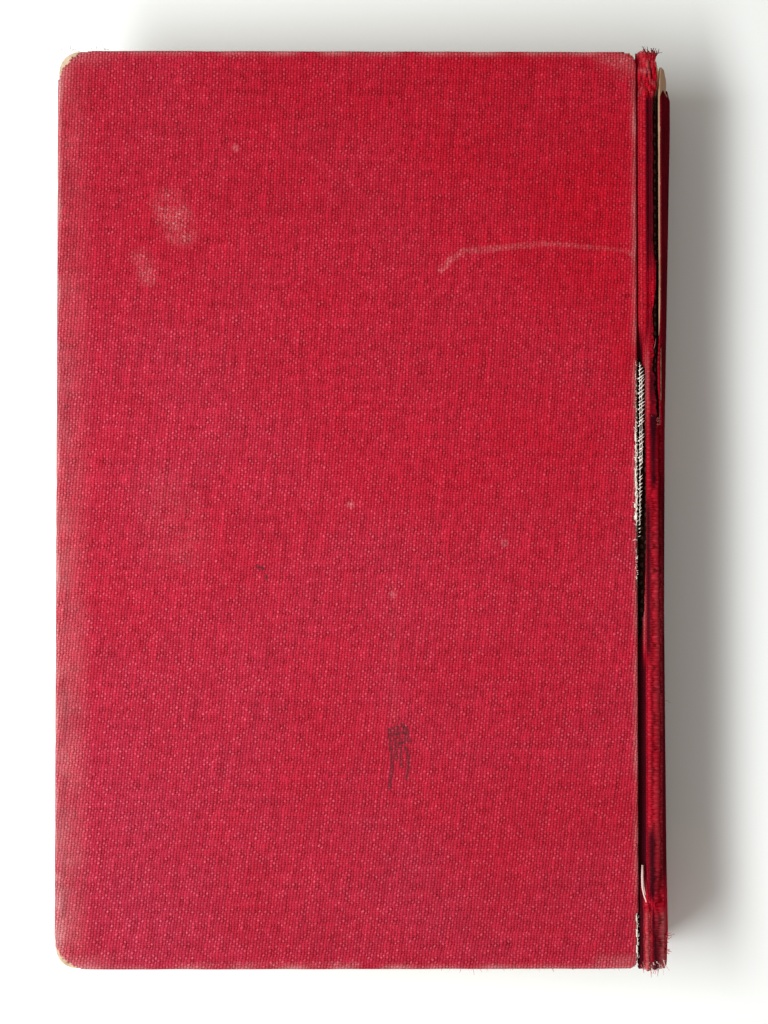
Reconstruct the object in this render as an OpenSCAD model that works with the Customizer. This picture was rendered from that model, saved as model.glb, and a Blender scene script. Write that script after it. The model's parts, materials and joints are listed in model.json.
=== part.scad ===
// Cloth-cased hardback book with a rounded and backed text block and a hollow back.
// It lies on its front cover: +X points to the spine, +Y to the head and +Z up through the pages.
// The origin is the middle of the outline, on the surface the book lies on.
// The back joint is torn, the spine cloth has lost its head end, and the loose spine piece bulges.

/* [Boards] */
// Height of a cover board, head to tail
board_h = 221.2; // [160:0.1:300]
// Width of a cover board, spine edge to fore-edge
board_w = 139.7; // [100:0.1:220]
// Thickness of a cover board
board_t = 2.4; // [1.8:0.1:3.2]
// Radius of a board's two fore-edge corners, rubbed round in use
corner_r = 5; // [2:0.5:8]
// Radius of a board's two corners at the spine
spine_corner_r = 1.6; // [0.8:0.1:3]

/* [Cover cloth] */
// Thickness of the cover cloth
cloth_t = 0.4; // [0.3:0.05:0.6]
// Roll of the cloth over a board's outer edges
edge_roll = 0.8; // [0.5:0.1:1.2]
// Width of the cloth turned in over a board's inside
turn_in_w = 15; // [10:0.5:20]
// Depth to which a turn-in is pressed into the board
turn_in_press = 0.2; // [0.1:0.05:0.3]
// Width of the open line where two turn-ins meet at a corner
mitre_gap = 0.3; // [0.2:0.05:0.6]
// Radius to which the cloth is worn off at the back cover's fore-edge corners
back_wear_r = 8.5; // [8:0.5:12]
// Radius to which the cloth is worn off at the front cover's fore-edge corners
front_wear_r = 6.8; // [6:0.1:8]

/* [Pages] */
// Thickness of the pages, pressed together
pages_t = 24.9; // [18:0.1:40]
// Thickness of an endpaper leaf
leaf_t = 0.15; // [0.1:0.01:0.2]
// Margin by which a board stands past the pages at head, tail and fore-edge
square_w = 3; // [2:0.1:5]
// Radius of the rounded back and of the hollow fore-edge
round_r = 50; // [42:1:70]
// Air between a cover's inside and the outermost leaf
cover_gap = 0.25; // [0.2:0.05:0.5]

/* [Joints] */
// Distance from a board's spine edge to its hinge line
joint_w = 4.5; // [4.2:0.1:6]
// Running gap between a board's cloth and the cloth of the spine
joint_clear = 0.35; // [0.3:0.05:0.5]
// Width of the flat bottom of the groove
groove_w = 0.45; // [0.45:0.05:0.8]
// Height of a shoulder above the pages
shoulder_h = 2.1; // [1.8:0.1:2.4]
// Run of a shoulder's sloping flank
flank_run = 2.1; // [1.8:0.05:2.3]
// Radius of a shoulder's crest
crest_r = 0.45; // [0.3:0.05:0.5]

/* [Spine layers] */
// Thickness of the open-weave backing glued over the sewn folds
mull_t = 0.3; // [0.2:0.05:0.4]
// Distance that the backing and its wings stop short of the pages' head and tail
mull_short = 12; // [5:1:20]
// Width of a backing wing under a pastedown
mull_wing_w = 26; // [20:1:35]
// Thickness of the paper lining on the backing
lining_t = 0.25; // [0.15:0.05:0.35]
// Air in the hollow back, between lining and spine card
hollow_w = 0.45; // [0.4:0.05:0.6]
// Thickness of the spine card
spine_card_t = 0.55; // [0.4:0.05:0.7]
// Film of glue left between two glued layers
glue_gap = 0.05; // [0.03:0.01:0.07]

/* [Sewing] */
// Thickness of the sewing thread
thread_t = 0.4; // [0.3:0.05:0.5]
// Rows of stitches across the back, kettle stitches included
stitch_rows = 7; // [5:2:9]
// Distance of the kettle stitches from head and tail
kettle_inset = 12; // [8:1:16]

/* [Damage] */
// Length of spine cloth lost at the head
cloth_lost = 9.5; // [4:0.5:16]
// Place of the lower end of the tear on the spine side, above mid-height
tear_end = 20; // [10:1:40]
// Height by which the tear on the board side passes that end at the top
tear_over = 17; // [10:1:25]
// Place of the lower end of the tear on the board side, below mid-height
tear_foot = 33; // [25:1:45]
// Bulge of the loose spine piece at its head end
bulge = 2; // [0:0.1:2]

/* [Hidden] */
eps = 0.01;

// Levels of a closed cover, measured in from its outer face
board_outer = cloth_t;
board_inner = board_outer + board_t;
turn_in_bed = board_inner - turn_in_press;
turn_in_face = turn_in_bed + cloth_t;
cover_inner = turn_in_face + leaf_t;
leaf_face = cover_inner + cover_gap;
book_t = 2 * leaf_face + 2 * leaf_t + pages_t;
mid_z = book_t / 2;

// Places along X, worked out from the hinge line
page_rise = mid_z - leaf_face;
start_out = joint_w - cloth_t - joint_clear;
foot_out = start_out - groove_w;
crest_mid = flank_run + crest_r - foot_out;
crest_rise = page_rise + shoulder_h - crest_r;
back_start = crest_mid + crest_r;
arc_centre = back_start - sqrt(round_r * round_r - crest_rise * crest_rise);
layers_t = mull_t + lining_t + hollow_w + spine_card_t + cloth_t + 2 * glue_gap;
spine_reach = arc_centre + round_r + layers_t + bulge;
book_w = cloth_t + board_w + joint_w + spine_reach;
hinge_x = book_w / 2 - spine_reach;
board_edge_x = hinge_x - joint_w;
fore_x = board_edge_x - board_w;
page_fore_x = fore_x - cloth_t + square_w;
cover_h = board_h + 2 * cloth_t;
head = cover_h / 2;
tail = -head;
page_h = cover_h - 2 * square_w;
mull_h = page_h - 2 * mull_short;

// The back of the sewn block in section, as [x, z] points from the back cover's groove, up the
// shoulder's flank, over its crest, round the back and the same way down to the front groove
crest_turn = 30;
arc_angle = asin(crest_rise / round_r);
arc_steps = 22;
half_path = concat(
    [[hinge_x - start_out, page_rise], [hinge_x - foot_out, page_rise]],
    [for (a = [180 - crest_turn : -crest_turn : crest_turn])
        [hinge_x + crest_mid + crest_r * cos(a), crest_rise + crest_r * sin(a)]]);
arc_path = [for (i = [0 : arc_steps]) let (a = arc_angle * (1 - 2 * i / arc_steps))
    [hinge_x + arc_centre + round_r * cos(a), round_r * sin(a)]];
back_path = [for (p = concat(half_path, arc_path, [for (i = [len(half_path) - 1 : -1 : 0])
    [half_path[i][0], -half_path[i][1]]])) [p[0], p[1] + mid_z]];
last = len(back_path) - 1;
flank_last = 2;
crest_last = len(half_path) - 1;

// A path moved sideways by d, to its left, with mitred corners
function unit(p) = p / norm(p);
function left(a, b) = let (u = unit(b - a)) [-u[1], u[0]];
function moved(p, d) = [for (i = [0 : len(p) - 1])
    let (before = left(p[max(i - 1, 0)], p[max(i, 1)]))
    let (after = left(p[min(i, len(p) - 2)], p[min(i + 1, len(p) - 1)]))
    p[i] + d * (before + after) / (1 + before * after)];
function reversed(p) = [for (i = [len(p) - 1 : -1 : 0]) p[i]];
function part_of(p, from, to) = [for (i = [from : to]) p[i]];

// Length run along the back's path at each of its points, and a layer's place at a given length
function runs(p, i = 0, sum = 0) = i > last ? [] :
    let (s = i == 0 ? 0 : sum + norm(p[i] - p[i - 1])) concat([s], runs(p, i + 1, s));
run_at = runs(back_path);
run_end = run_at[last];
crest_run = run_at[crest_last];
function layer(d) = let (p = moved(back_path, d))
    [for (axis = [0, 1]) [for (i = [0 : last]) [run_at[i], p[i][axis]]]];
function on(table, s) = [lookup(s, table[0]), lookup(s, table[1])];

card_d = mull_t + lining_t + hollow_w + glue_gap;
cloth_d = card_d + spine_card_t + glue_gap;
joint_d = mull_t + 2 * glue_gap;

function mix(a, b, f) = a + (b - a) * f;
torn_head = head - cloth_lost;
tear_top = tear_end + tear_over;

// How far each height of the spine stands out: the loose head end bulges, the tail end flares
spread_at = concat([[tail, 0.3], [tail + 8, 0.7], [tail + 26, 0.3], [tail * 0.5, 0], [tail * 0.22, -0.3],
    [0, 0], [tear_end, 0.2]], [for (p = [[0.38, 0.45], [0.69, 0.7], [0.92, 1], [1, 1]])
        [mix(tear_end, torn_head, p[0]), bulge * p[1]]],
    [[torn_head + cloth_lost * 0.42, 0.4 * bulge], [head, -0.2]]);
function bow(z) = pow(max(1 - pow((z - mid_z) / crest_rise, 2), 0), 1.4);
// Where the joint's cloth is slack and lies off the shoulder's flank: most at the head and tail
// caps, where it is doubled and crumpled
cap_l = 11;
slack_at = [[tail, 1], [tail + cap_l, 0.8], [tail + cap_l + 4, 0], [tear_end, 0],
    [mix(tear_end, head - cap_l - 2, 0.23), 0.35], [head - cap_l - 2, 0.5], [head - cap_l, 0.9], [head, 1]];
lift_at = [[0, 0], [groove_w, 0.6], [crest_run * 0.3, 0.85], [crest_run * 0.5, 0.8], [crest_run * 0.8, 0.15],
    [crest_run, 0]];
// A crease runs up from the tail, behind the ridge
crease_at = [[tail, 1.5], [tail + 12, 0.7], [tail + 16, 0]];
crease_run = [[crest_run, 0], [crest_run + 0.9, 1], [crest_run + 2, 0]];

function shift(s, y, p) = [lookup(y, spread_at) * bow(p[1]),
    lookup(y, slack_at) * lookup(s, lift_at) - lookup(y, crease_at) * lookup(s, crease_run)];

// A point of a layer of the back, moved with the slack and the bulge of the spine
function placed(p, s, y) = let (q = p + shift(s, y, p)) [q[0], y, q[1]];

// A closed sheet between two grids of points, over the cells that are there
module sheet(outer, inner, there) {
    rows = len(outer);
    cols = len(outer[0]);
    under = rows * cols;
    function filled(i, j) = i >= 0 && j >= 0 && i < cols - 1 && j < rows - 1 && there(i, j);
    function wall(p, q) = [[q, p, p + under], [q, p + under, q + under]];
    faces = [for (j = [0 : rows - 2], i = [0 : cols - 2]) if (filled(i, j))
        let (a = j * cols + i, b = a + 1, c = b + cols, d = a + cols)
        each concat([[a, b, c], [a, c, d]],
            [for (t = [[a, c, b], [a, d, c]]) [for (corner = t) corner + under]],
            filled(i, j - 1) ? [] : wall(a, b), filled(i + 1, j) ? [] : wall(b, c),
            filled(i, j + 1) ? [] : wall(c, d), filled(i - 1, j) ? [] : wall(d, a))];
    polyhedron(concat([for (r = outer) each r], [for (r = inner) each r]), faces, convexity = 8);
}

// A straight run of a layer of the block's back, between two of the path's points
module back_band(h, inner, outer, from = 0, to = last) {
    rotate([90, 0, 0]) linear_extrude(h, center = true)
        polygon(concat(part_of(moved(back_path, outer), from, to),
            reversed(part_of(moved(back_path, inner), from, to))));
}

// Rounded outline of a board, with its fore-edge corners first
function quarter(x, y, r, a) = [for (i = [0 : 6]) [x + r * cos(a + i * 15), y + r * sin(a + i * 15)]];
function outline(grow, in = 0) =
    let (x0 = fore_x - grow + in, x1 = board_edge_x + grow - in, h = board_h / 2 + grow - in)
    let (r0 = corner_r + grow - in, r1 = spine_corner_r + grow - in)
    concat(quarter(x0 + r0, h - r0, r0, 90), quarter(x0 + r0, r0 - h, r0, 180),
        quarter(x1 - r1, r1 - h, r1, 270), quarter(x1 - r1, h - r1, r1, 0));

// What lies inside the turn-ins, on a board's inner face
module inside_turn_ins(from, to, past = 0) {
    translate([fore_x + turn_in_w, -board_h / 2 + turn_in_w, from])
        cube([board_w - turn_in_w + past, board_h - 2 * turn_in_w, to - from]);
}

// A cover's pieces are drawn as the front cover lies, and turned over for the back cover
module turned_over() {
    translate([0, 0, book_t]) mirror([0, 0, 1]) children();
}

module board() {
    linear_extrude_from(board_outer, turn_in_bed) polygon(outline(0));
    inside_turn_ins(turn_in_bed - eps, board_inner);
}

module linear_extrude_from(from, to) {
    translate([0, 0, from]) linear_extrude(to - from) children();
}

// Cloth worn through at the two fore-edge corners
module corner_wear(r) {
    x = fore_x - cloth_t;
    h = cover_h / 2;
    for (side = [-1, 1]) linear_extrude_from(-1, turn_in_face + 1)
        polygon(concat([for (i = [0 : 9]) [x + r - r * cos(i * 10), side * (h - r + r * sin(i * 10))]],
            [[x + r, side * (h + 1)], [x - 1, side * (h + 1)], [x - 1, side * (h - r)]]));
}

// Ragged edges of the cloth along the back board's spine edge, as [height, depth past the fold]
torn_edge = [for (p = [[0, 0.5], [0.08, 0.9], [0.16, 0.7], [0.27, 1.1], [0.39, 0.8], [0.48, 1.2], [0.6, 0.8],
    [0.7, 1], [0.78, 0.6], [0.9, 0.7], [1, 0.4]]) [mix(tear_top - 3, 5 - tear_foot, p[0]), p[1]]];
rubbed_edge = [for (p = [[15, 0.5], [11, 0.9], [8, 0.6], [5.5, 0.8]]) [tail + p[0], p[1]]];

module ragged(edge) {
    x = board_edge_x;
    outside = x + cloth_t + 1;
    run_out = 3;
    end = edge[len(edge) - 1];
    linear_extrude_from(-1, turn_in_face + 1)
        polygon(concat([[outside, edge[0][0] + run_out]], [for (p = edge) [x - p[1], p[0]]],
            [[outside, end[0] - run_out]]));
}

// A closed solid through flat rings of equally many points
module skin(rings) {
    n = len(rings[0]);
    ends = [[for (i = [0 : n - 1]) i], [for (i = [n - 1 : -1 : 0]) (len(rings) - 1) * n + i]];
    sides = [for (j = [0 : len(rings) - 2], i = [0 : n - 1]) let (a = j * n + i, b = j * n + (i + 1) % n)
        each [[a, b + n, b], [a, a + n, b + n]]];
    polyhedron([for (r = rings) each r], concat(ends, sides), convexity = 8);
}

module cover_cloth(wear_r) {
    roll = [0, 30, 60, 90];
    outer = [for (a = roll) [edge_roll * (1 - sin(a)), edge_roll * (1 - cos(a))]];
    rings = concat([for (a = outer) [for (p = outline(cloth_t, a[0])) [p[0], p[1], a[1]]]],
        [for (b = [[0, turn_in_face - 0.15], [0.15, turn_in_face]])
            [for (p = outline(cloth_t, b[0])) [p[0], p[1], b[1]]]]);
    difference() {
        skin([for (r = rings) reversed(r)]);
        linear_extrude_from(board_outer, turn_in_bed) polygon(outline(0));
        inside_turn_ins(turn_in_bed - eps, turn_in_face + 1);
        mitres();
        corner_wear(wear_r);
        children();
    }
}

// Open lines where the turn-ins meet at the fore-edge corners
module mitres() {
    for (side = [-1, 1]) translate([fore_x, side * board_h / 2, turn_in_bed]) rotate([0, 0, -side * 45])
        translate([corner_r * 0.7, -mitre_gap / 2, 0])
            cube([turn_in_w * 1.45 - corner_r * 0.7, mitre_gap, cloth_t + 1]);
}

// Endpaper leaf pasted inside a cover: high over the turn-ins, low on the bare board
module pastedown() {
    x0 = page_fore_x;
    difference() {
        union() {
            translate([x0, -page_h / 2, turn_in_face]) cube([board_edge_x - x0, page_h, leaf_t]);
            inside_turn_ins(board_inner, cover_inner - eps);
        }
        low_x = fore_x + turn_in_w + leaf_t;
        low_h = board_h / 2 - turn_in_w - leaf_t;
        translate([low_x, -low_h, board_inner + leaf_t])
            cube([board_edge_x - mull_wing_w - low_x, 2 * low_h, 1]);
        mull_wing(1);
    }
}

// Wing of the backing, on the board and under the pastedown
module mull_wing(extra = 0) {
    translate([board_edge_x - mull_wing_w + leaf_t, -mull_wing_h / 2, board_inner - extra])
        cube([mull_wing_w - leaf_t + extra, mull_wing_h, turn_in_face - board_inner + extra]);
}
mull_wing_h = min(mull_h, board_h - 2 * turn_in_w - 2 * leaf_t);

// Endpaper leaf on the pages, folded up the shoulder's flank
function leaf_path() = concat([[page_fore_x, mid_z + page_rise]], part_of(back_path, 1, flank_last));
module flyleaf(extra = 0) {
    p = leaf_path();
    rotate([90, 0, 0]) linear_extrude(page_h + extra, center = true)
        polygon(concat(p, reversed(moved(p, -leaf_t))));
}

module page_section() {
    difference() {
        polygon(concat([[page_fore_x, mid_z + page_rise]], back_path, [[page_fore_x, mid_z - page_rise]]));
        translate([page_fore_x - sqrt(round_r * round_r - page_rise * page_rise), mid_z])
            circle(round_r, $fn = 180);
    }
}

stitch_y = [for (i = [0 : stitch_rows - 1])
    (page_h / 2 - kettle_inset) * (1 - 2 * i / (stitch_rows - 1))];
module stitches(inner, outer, w) {
    for (y = stitch_y) translate([0, y, 0]) back_band(w, inner, outer, crest_last + 1, last - crest_last - 1);
}

module text_block() {
    color("antiquewhite") difference() {
        rotate([90, 0, 0]) linear_extrude(page_h, center = true) page_section();
        flyleaf(1);
        turned_over() flyleaf(1);
        stitches(-thread_t - 2 * glue_gap, 1, thread_t + 4 * glue_gap);
    }
}

module back_flyleaf() { color("cornsilk") flyleaf(); }
module front_flyleaf() { color("cornsilk") turned_over() flyleaf(); }

module sewing_thread() {
    color("linen") stitches(-thread_t - glue_gap, -glue_gap, thread_t);
}

module mull() {
    color("ivory") back_band(mull_h, 0, mull_t);
}

module back_lining() {
    from = crest_last + 3;
    color("burlywood") back_band(page_h - 1, mull_t, mull_t + lining_t, from, last - from);
}

// Stations along the back, packed closer round the shoulders
card_start = crest_run + 0.6;
card_end = run_end - card_start;
arc_stations = [for (i = [1 : 10]) card_start + (card_end - card_start) * i / 11];
joint_stations = concat([0, run_at[1]], [for (f = [0.35, 0.7]) mix(run_at[1], run_at[2], f)],
    [for (i = [flank_last : crest_last]) run_at[i]]);
front_stations = [for (i = [len(joint_stations) - 1 : -1 : 0]) run_end - joint_stations[i]];

// The card's head end is worn round, and narrows over its last few millimetres
module spine_card() {
    top = head - 1.8;
    worn_l = 7;
    rows = concat([tail + cloth_t + glue_gap, tail + 8, tail + 17],
        [for (f = [0.12, 0.34, 0.6, 0.82, 1]) mix(tail + 17, tear_end, f)],
        [for (f = [0.2, 0.4, 0.6, 0.8]) mix(tear_end, top - worn_l, f)],
        [for (f = [1, 0.7, 0.4, 0.15, 0]) top - worn_l * f]);
    function worn(y) = let (f = max(y - top + worn_l, 0) / worn_l) worn_l * (1 - sqrt(1 - 0.9 * f * f));
    function grid(table) = [for (y = rows) [for (i = [0 : 11])
        let (s = mix(card_start + worn(y), card_end - worn(y), i / 11)) placed(on(table, s), s, y)]];
    color("tan") sheet(grid(layer(card_d + spine_card_t)), grid(layer(card_d)), function(i, j) true);
}

// Edges of the torn cloth, as runs along the path: on the board's side, then on the spine's side
board_side_at = [for (p = [[0, 0], [0.19, 0.35], [0.4, 0.6], [0.7, 0.66], [0.96, 0.6], [1, 0]])
    [mix(-tear_foot, tear_top, p[0]), crest_run * p[1]]];
strip_side_at = concat([[tear_end - 8, crest_run], [tear_end, crest_run * 0.93]],
    [for (p = [[0.22, 0.86], [0.37, 0.95], [0.5, 1.05], [1, 1.05]])
        [mix(tear_end, head - cap_l, p[0]), crest_run * p[1]]], [[head, crest_run]]);
head_edge_at = [[card_start, torn_head], [card_start + 5, torn_head - 1.5], [run_end / 2, torn_head - 1],
    [card_end - 4, torn_head + 2], [card_end, head - 3], [run_end - crest_run, head], [run_end, head]];

// The spine's cloth runs from groove to groove: on the backing over the joints, and on the card over
// the back. Above the tear's end a slit parts the strip over the back joint from the loose piece,
// whose head end is torn away. At the tail the cloth is turned in round the card's end.
module spine_cloth() {
    columns = concat(joint_stations, [card_start - 0.1], arc_stations, [card_end + 0.1], front_stations);
    strip_last = len(joint_stations) - 1;
    card_first = strip_last + 1;
    card_last = card_first + len(arc_stations) + 1;
    turned = [tail + 12, tail + 6, tail];
    whole = concat([for (d = [0, 3, 6, 9, 12, cap_l + 3.5]) tail + d],
        [for (f = [0.04, 0.13, 0.26, 0.45, 0.73, 1]) mix(tail + cap_l + 3.5, -tear_foot, f)],
        [for (f = [0.15, 0.32, 0.53, 0.77, 0.89, 1]) mix(-tear_foot, tear_end, f)]);
    strip = concat([for (f = [0.3, 0.6, 0.88, 1]) mix(tear_end, tear_top, f)],
        [for (f = [0.08, 0.22, 0.42, 0.62]) mix(tear_top, head - cap_l - 3, f)],
        [for (d = [cap_l + 3, cap_l, 6, 3, 0]) head - d]);
    part = [0.07, 0.14, 0.21, 0.28, 0.36, 0.45, 0.55, 0.65, 0.74, 0.82, 0.89, 0.95, 1];
    tear_row = len(turned) + len(whole) - 1;
    tables = [layer(joint_d), layer(joint_d + cloth_t), layer(cloth_d), layer(cloth_d + cloth_t)];
    turned_table = [layer(card_d - glue_gap), layer(mull_t + lining_t + 0.12)];

    function on_card(i) = i >= card_first && i <= card_last;
    function run(i, y) = i > strip_last ? columns[i]
        : mix(lookup(y, board_side_at), lookup(y, strip_side_at), columns[i] / crest_run);
    function height(i, j) = j <= tear_row ? whole[j - len(turned)]
        : let (k = j - tear_row - 1) i <= strip_last ? strip[k]
        : mix(tear_end, lookup(columns[i], head_edge_at), part[k]);
    function point(i, j, side) = j < len(turned) ? let (y = turned[j] + (j == 2 && side == 0 ? cloth_t : 0))
            placed(on(turned_table[side], columns[i]), columns[i], y)
        : let (y = height(i, j) + (j == len(turned) && side == 0 && on_card(i) ? cloth_t : 0))
            let (s = run(i, y)) placed(on(tables[side + (on_card(i) ? 2 : 0)], s), s, y);
    function grid(side) = [for (j = [0 : tear_row + len(strip)])
        [for (i = [0 : len(columns) - 1]) point(i, j, side)]];

    color("crimson") sheet(grid(1), grid(0), function(i, j) j < len(turned)
        ? i > card_first && i < card_last - 1 : !(i == strip_last && j >= tear_row));
}

module back_board() { color("peru") turned_over() board(); }
module front_board() { color("peru") board(); }

module back_cloth() {
    color("firebrick") turned_over() cover_cloth(back_wear_r) {
        ragged(torn_edge);
        ragged(rubbed_edge);
    }
}
module front_cloth() { color("firebrick") cover_cloth(front_wear_r); }

module back_pastedown() { color("cornsilk") turned_over() pastedown(); }
module front_pastedown() { color("cornsilk") pastedown(); }

module back_mull_wing() { color("ivory") turned_over() mull_wing(); }
module front_mull_wing() { color("ivory") mull_wing(); }

text_block();
back_flyleaf();
front_flyleaf();
sewing_thread();
mull();
back_lining();
spine_card();
spine_cloth();
back_board();
back_cloth();
back_pastedown();
back_mull_wing();
front_board();
front_cloth();
front_pastedown();
front_mull_wing();
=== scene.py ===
"""Looks of a worn, cloth-cased hardback book that lies on its front cover, seen from above."""

import json
import math

import bpy
import numpy as np
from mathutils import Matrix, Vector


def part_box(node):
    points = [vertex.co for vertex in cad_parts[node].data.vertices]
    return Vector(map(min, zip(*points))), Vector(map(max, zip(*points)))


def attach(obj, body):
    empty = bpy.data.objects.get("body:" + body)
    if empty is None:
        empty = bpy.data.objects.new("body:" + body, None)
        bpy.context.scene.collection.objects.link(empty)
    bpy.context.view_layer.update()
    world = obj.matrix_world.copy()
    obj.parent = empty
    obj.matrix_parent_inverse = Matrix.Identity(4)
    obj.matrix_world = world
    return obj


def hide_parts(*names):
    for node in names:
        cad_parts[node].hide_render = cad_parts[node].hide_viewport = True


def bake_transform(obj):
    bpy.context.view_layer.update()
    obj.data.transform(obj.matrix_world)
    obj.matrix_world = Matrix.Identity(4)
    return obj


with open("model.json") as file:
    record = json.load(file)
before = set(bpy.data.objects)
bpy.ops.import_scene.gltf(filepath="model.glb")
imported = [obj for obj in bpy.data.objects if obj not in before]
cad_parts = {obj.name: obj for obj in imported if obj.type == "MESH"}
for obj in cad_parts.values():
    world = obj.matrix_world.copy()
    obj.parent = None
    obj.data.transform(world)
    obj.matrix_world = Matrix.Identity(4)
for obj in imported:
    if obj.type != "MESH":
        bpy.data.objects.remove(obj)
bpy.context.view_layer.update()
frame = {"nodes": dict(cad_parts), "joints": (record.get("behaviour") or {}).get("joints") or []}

# --- View, table and light ---
# The book lies on a pale table top. The camera looks almost straight down at it. A long, soft window
# lights it from the left, the room adds a warm fill, and a little light comes from the table's foot.
MM = 0.001
camera_place = (-0.1, -11.9, 500.0)
camera_turn = (1.33, -0.493, 0.007)
image_height_px = 1024
focal_length_px = 1939.0
sensor_height = 24.0

camera = bpy.data.objects.new("camera", bpy.data.cameras.new("camera"))
camera.location = [c * MM for c in camera_place]
camera.rotation_euler = [math.radians(a) for a in camera_turn]
camera.data.sensor_fit = "VERTICAL"
camera.data.sensor_height = sensor_height
camera.data.lens = focal_length_px * sensor_height / image_height_px
camera.data.clip_start = 0.01
bpy.context.scene.collection.objects.link(camera)
bpy.context.scene.camera = camera
bpy.context.scene.view_settings.view_transform = "Standard"


def soft_light(name, place, aim, width, height, watts, color):
    """A soft box at place, in metres, turned to aim; its width lies level."""
    data = bpy.data.lights.new(name, "AREA")
    data.shape, data.size, data.size_y, data.energy, data.color = "RECTANGLE", width, height, watts, color
    lamp = bpy.data.objects.new(name, data)
    lamp.location = place
    towards = np.array(aim, float) - np.array(place, float)
    across = math.hypot(towards[0], towards[1])
    heading = math.atan2(towards[1], towards[0]) - math.pi / 2
    lamp.rotation_euler = (math.atan2(across, -towards[2]), 0, heading)
    bpy.context.scene.collection.objects.link(lamp)


soft_light("window", (-0.42, -0.12, 0.66), (0, 0, 0), 0.70, 0.20, 8.0, (1.0, 0.99, 0.97))
soft_light("foot_of_table", (-0.1, -0.75, 0.7), (0, -0.05, 0), 0.6, 0.6, 0.9, (1.0, 1.0, 1.0))

world = bpy.data.worlds.new("room")
world.use_nodes = True
world.node_tree.nodes["Background"].inputs["Color"].default_value = (1.0, 0.88, 0.78, 1)
world.node_tree.nodes["Background"].inputs["Strength"].default_value = 0.36
bpy.context.scene.world = world


def put(tree, kind, *inputs, out=0, **settings):
    """Adds a node, feeds its inputs in their order (None leaves one as it is), and gives back an output."""
    node = tree.nodes.new(kind)
    for key, value in settings.items():
        setattr(node, key, value)
    for socket, value in zip(node.inputs, inputs):
        if isinstance(value, bpy.types.NodeSocket):
            tree.links.new(value, socket)
        elif value is not None:
            socket.default_value = value
    return node.outputs[out]


def calc(tree, operation, *inputs):
    return put(tree, "ShaderNodeMath", *inputs, operation=operation)


def vector_calc(tree, operation, *inputs, out=0):
    return put(tree, "ShaderNodeVectorMath", *inputs, operation=operation, out=out)


def blend_colors(tree, share, first, second, how="MIX"):
    """Mixes two colours; share 0 gives the first."""
    unused = (None,) * 5
    return put(tree, "ShaderNodeMix", share, *unused, first, second, data_type="RGBA", blend_type=how, out=2)


def spread(tree, value, low, high, to_low=0.0, to_high=1.0):
    """Takes value from low..high to to_low..to_high, and holds it there outside that range."""
    return put(tree, "ShaderNodeMapRange", value, low, high, to_low, to_high)


def noise(tree, at, scale, detail=2.0, roughness=0.5, out=0):
    return put(tree, "ShaderNodeTexNoise", at, None, scale, detail, roughness, out=out)


def new_material(name):
    """A material with its Principled shader, and a function that feeds one of its sockets."""
    material = bpy.data.materials.new(name)
    material.use_nodes = True
    tree = material.node_tree
    shader = tree.nodes["Principled BSDF"]

    def feed(socket, value):
        if isinstance(value, bpy.types.NodeSocket):
            tree.links.new(value, shader.inputs[socket])
        else:
            shader.inputs[socket].default_value = value

    return material, tree, feed


def bump(tree, height, distance, strength=1.0):
    """A normal from a height that runs from 0 to 1; distance is that height in metres."""
    return put(tree, "ShaderNodeBump", strength, distance, None, height)


table_paint, tree, feed = new_material("table_top")
place = put(tree, "ShaderNodeTexCoord", out=3)
feed("Base Color", blend_colors(tree, noise(tree, place, 3.0), (0.80, 0.86, 0.88, 1), (0.84, 0.89, 0.90, 1)))
feed("Roughness", 0.7)

table_half = 1.6
table_data = bpy.data.meshes.new("table_top")
table_data.from_pydata(
    [(x * table_half, y * table_half, 0) for x, y in ((-1, -1), (1, -1), (1, 1), (-1, 1))], [], [(0, 1, 2, 3)]
)
table_data.materials.append(table_paint)
table_top = bpy.data.objects.new("table_top", table_data)
bpy.context.scene.collection.objects.link(table_top)


# --- Cover cloth ---
# Each board is covered with red plain-weave book cloth, glued down, rolled over the board's edges and
# turned in 15 mm on the inside, with mitred corners. Its corners are rubbed through to the board.
cloth_t = 0.4
edge_roll = 0.8
turn_in_w = 15.0
mitre_half = 0.17
warp_pitch = 0.73
weft_pitch = 0.55
low, high = np.array(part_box("front_cloth")) / MM
cover_x0, cover_x1 = low[0], high[0]
cover_half_h = high[1]
turn_in_face = high[2] - low[2]
book_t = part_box("back_cloth")[1][2] / MM
fore_corner_r = 5.4
spine_corner_r = 2.0


def hash_wave(x, y, seed):
    """A smooth, seeded waviness from -1 to 1, with a pitch near one unit."""
    rng = np.random.default_rng(seed)
    total = 0
    for _ in range(5):
        turn, pace, phase = rng.uniform(0, math.tau), rng.uniform(0.6, 1.7), rng.uniform(0, math.tau)
        total = total + np.sin((x * math.cos(turn) + y * math.sin(turn)) * pace * math.tau / 1.3 + phase)
    return total / 3.2


def make_object(name, verts, faces, material, attributes=()):
    """A mesh object from points in millimetres. attributes are (name, values), with one or three each."""
    data = bpy.data.meshes.new(name)
    data.from_pydata((np.asarray(verts, float) * MM).tolist(), [], [list(map(int, f)) for f in faces])
    for label, values in attributes:
        values = np.asarray(values, np.float32)
        kind = "FLOAT" if values.ndim == 1 else "FLOAT_VECTOR"
        layer = data.attributes.new(label, kind, "POINT")
        layer.data.foreach_set("value" if kind == "FLOAT" else "vector", values.ravel())
    data.materials.append(material)
    data.polygons.foreach_set("use_smooth", [True] * len(data.polygons))
    data.update()
    thing = bpy.data.objects.new(name, data)
    bpy.context.scene.collection.objects.link(thing)
    return thing


def grid_quads(rows, columns):
    """The quads between the points of a grid, row by row."""
    row, column = np.meshgrid(np.arange(rows - 1), np.arange(columns - 1), indexing="ij")
    first = (row * columns + column).reshape(-1)
    return np.stack([first, first + 1, first + columns + 1, first + columns], 1)


def stand_in(thing, body, node):
    """Hangs a piece on its body, in the place of one of the solids."""
    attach(thing, body)
    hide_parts(node)


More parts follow.
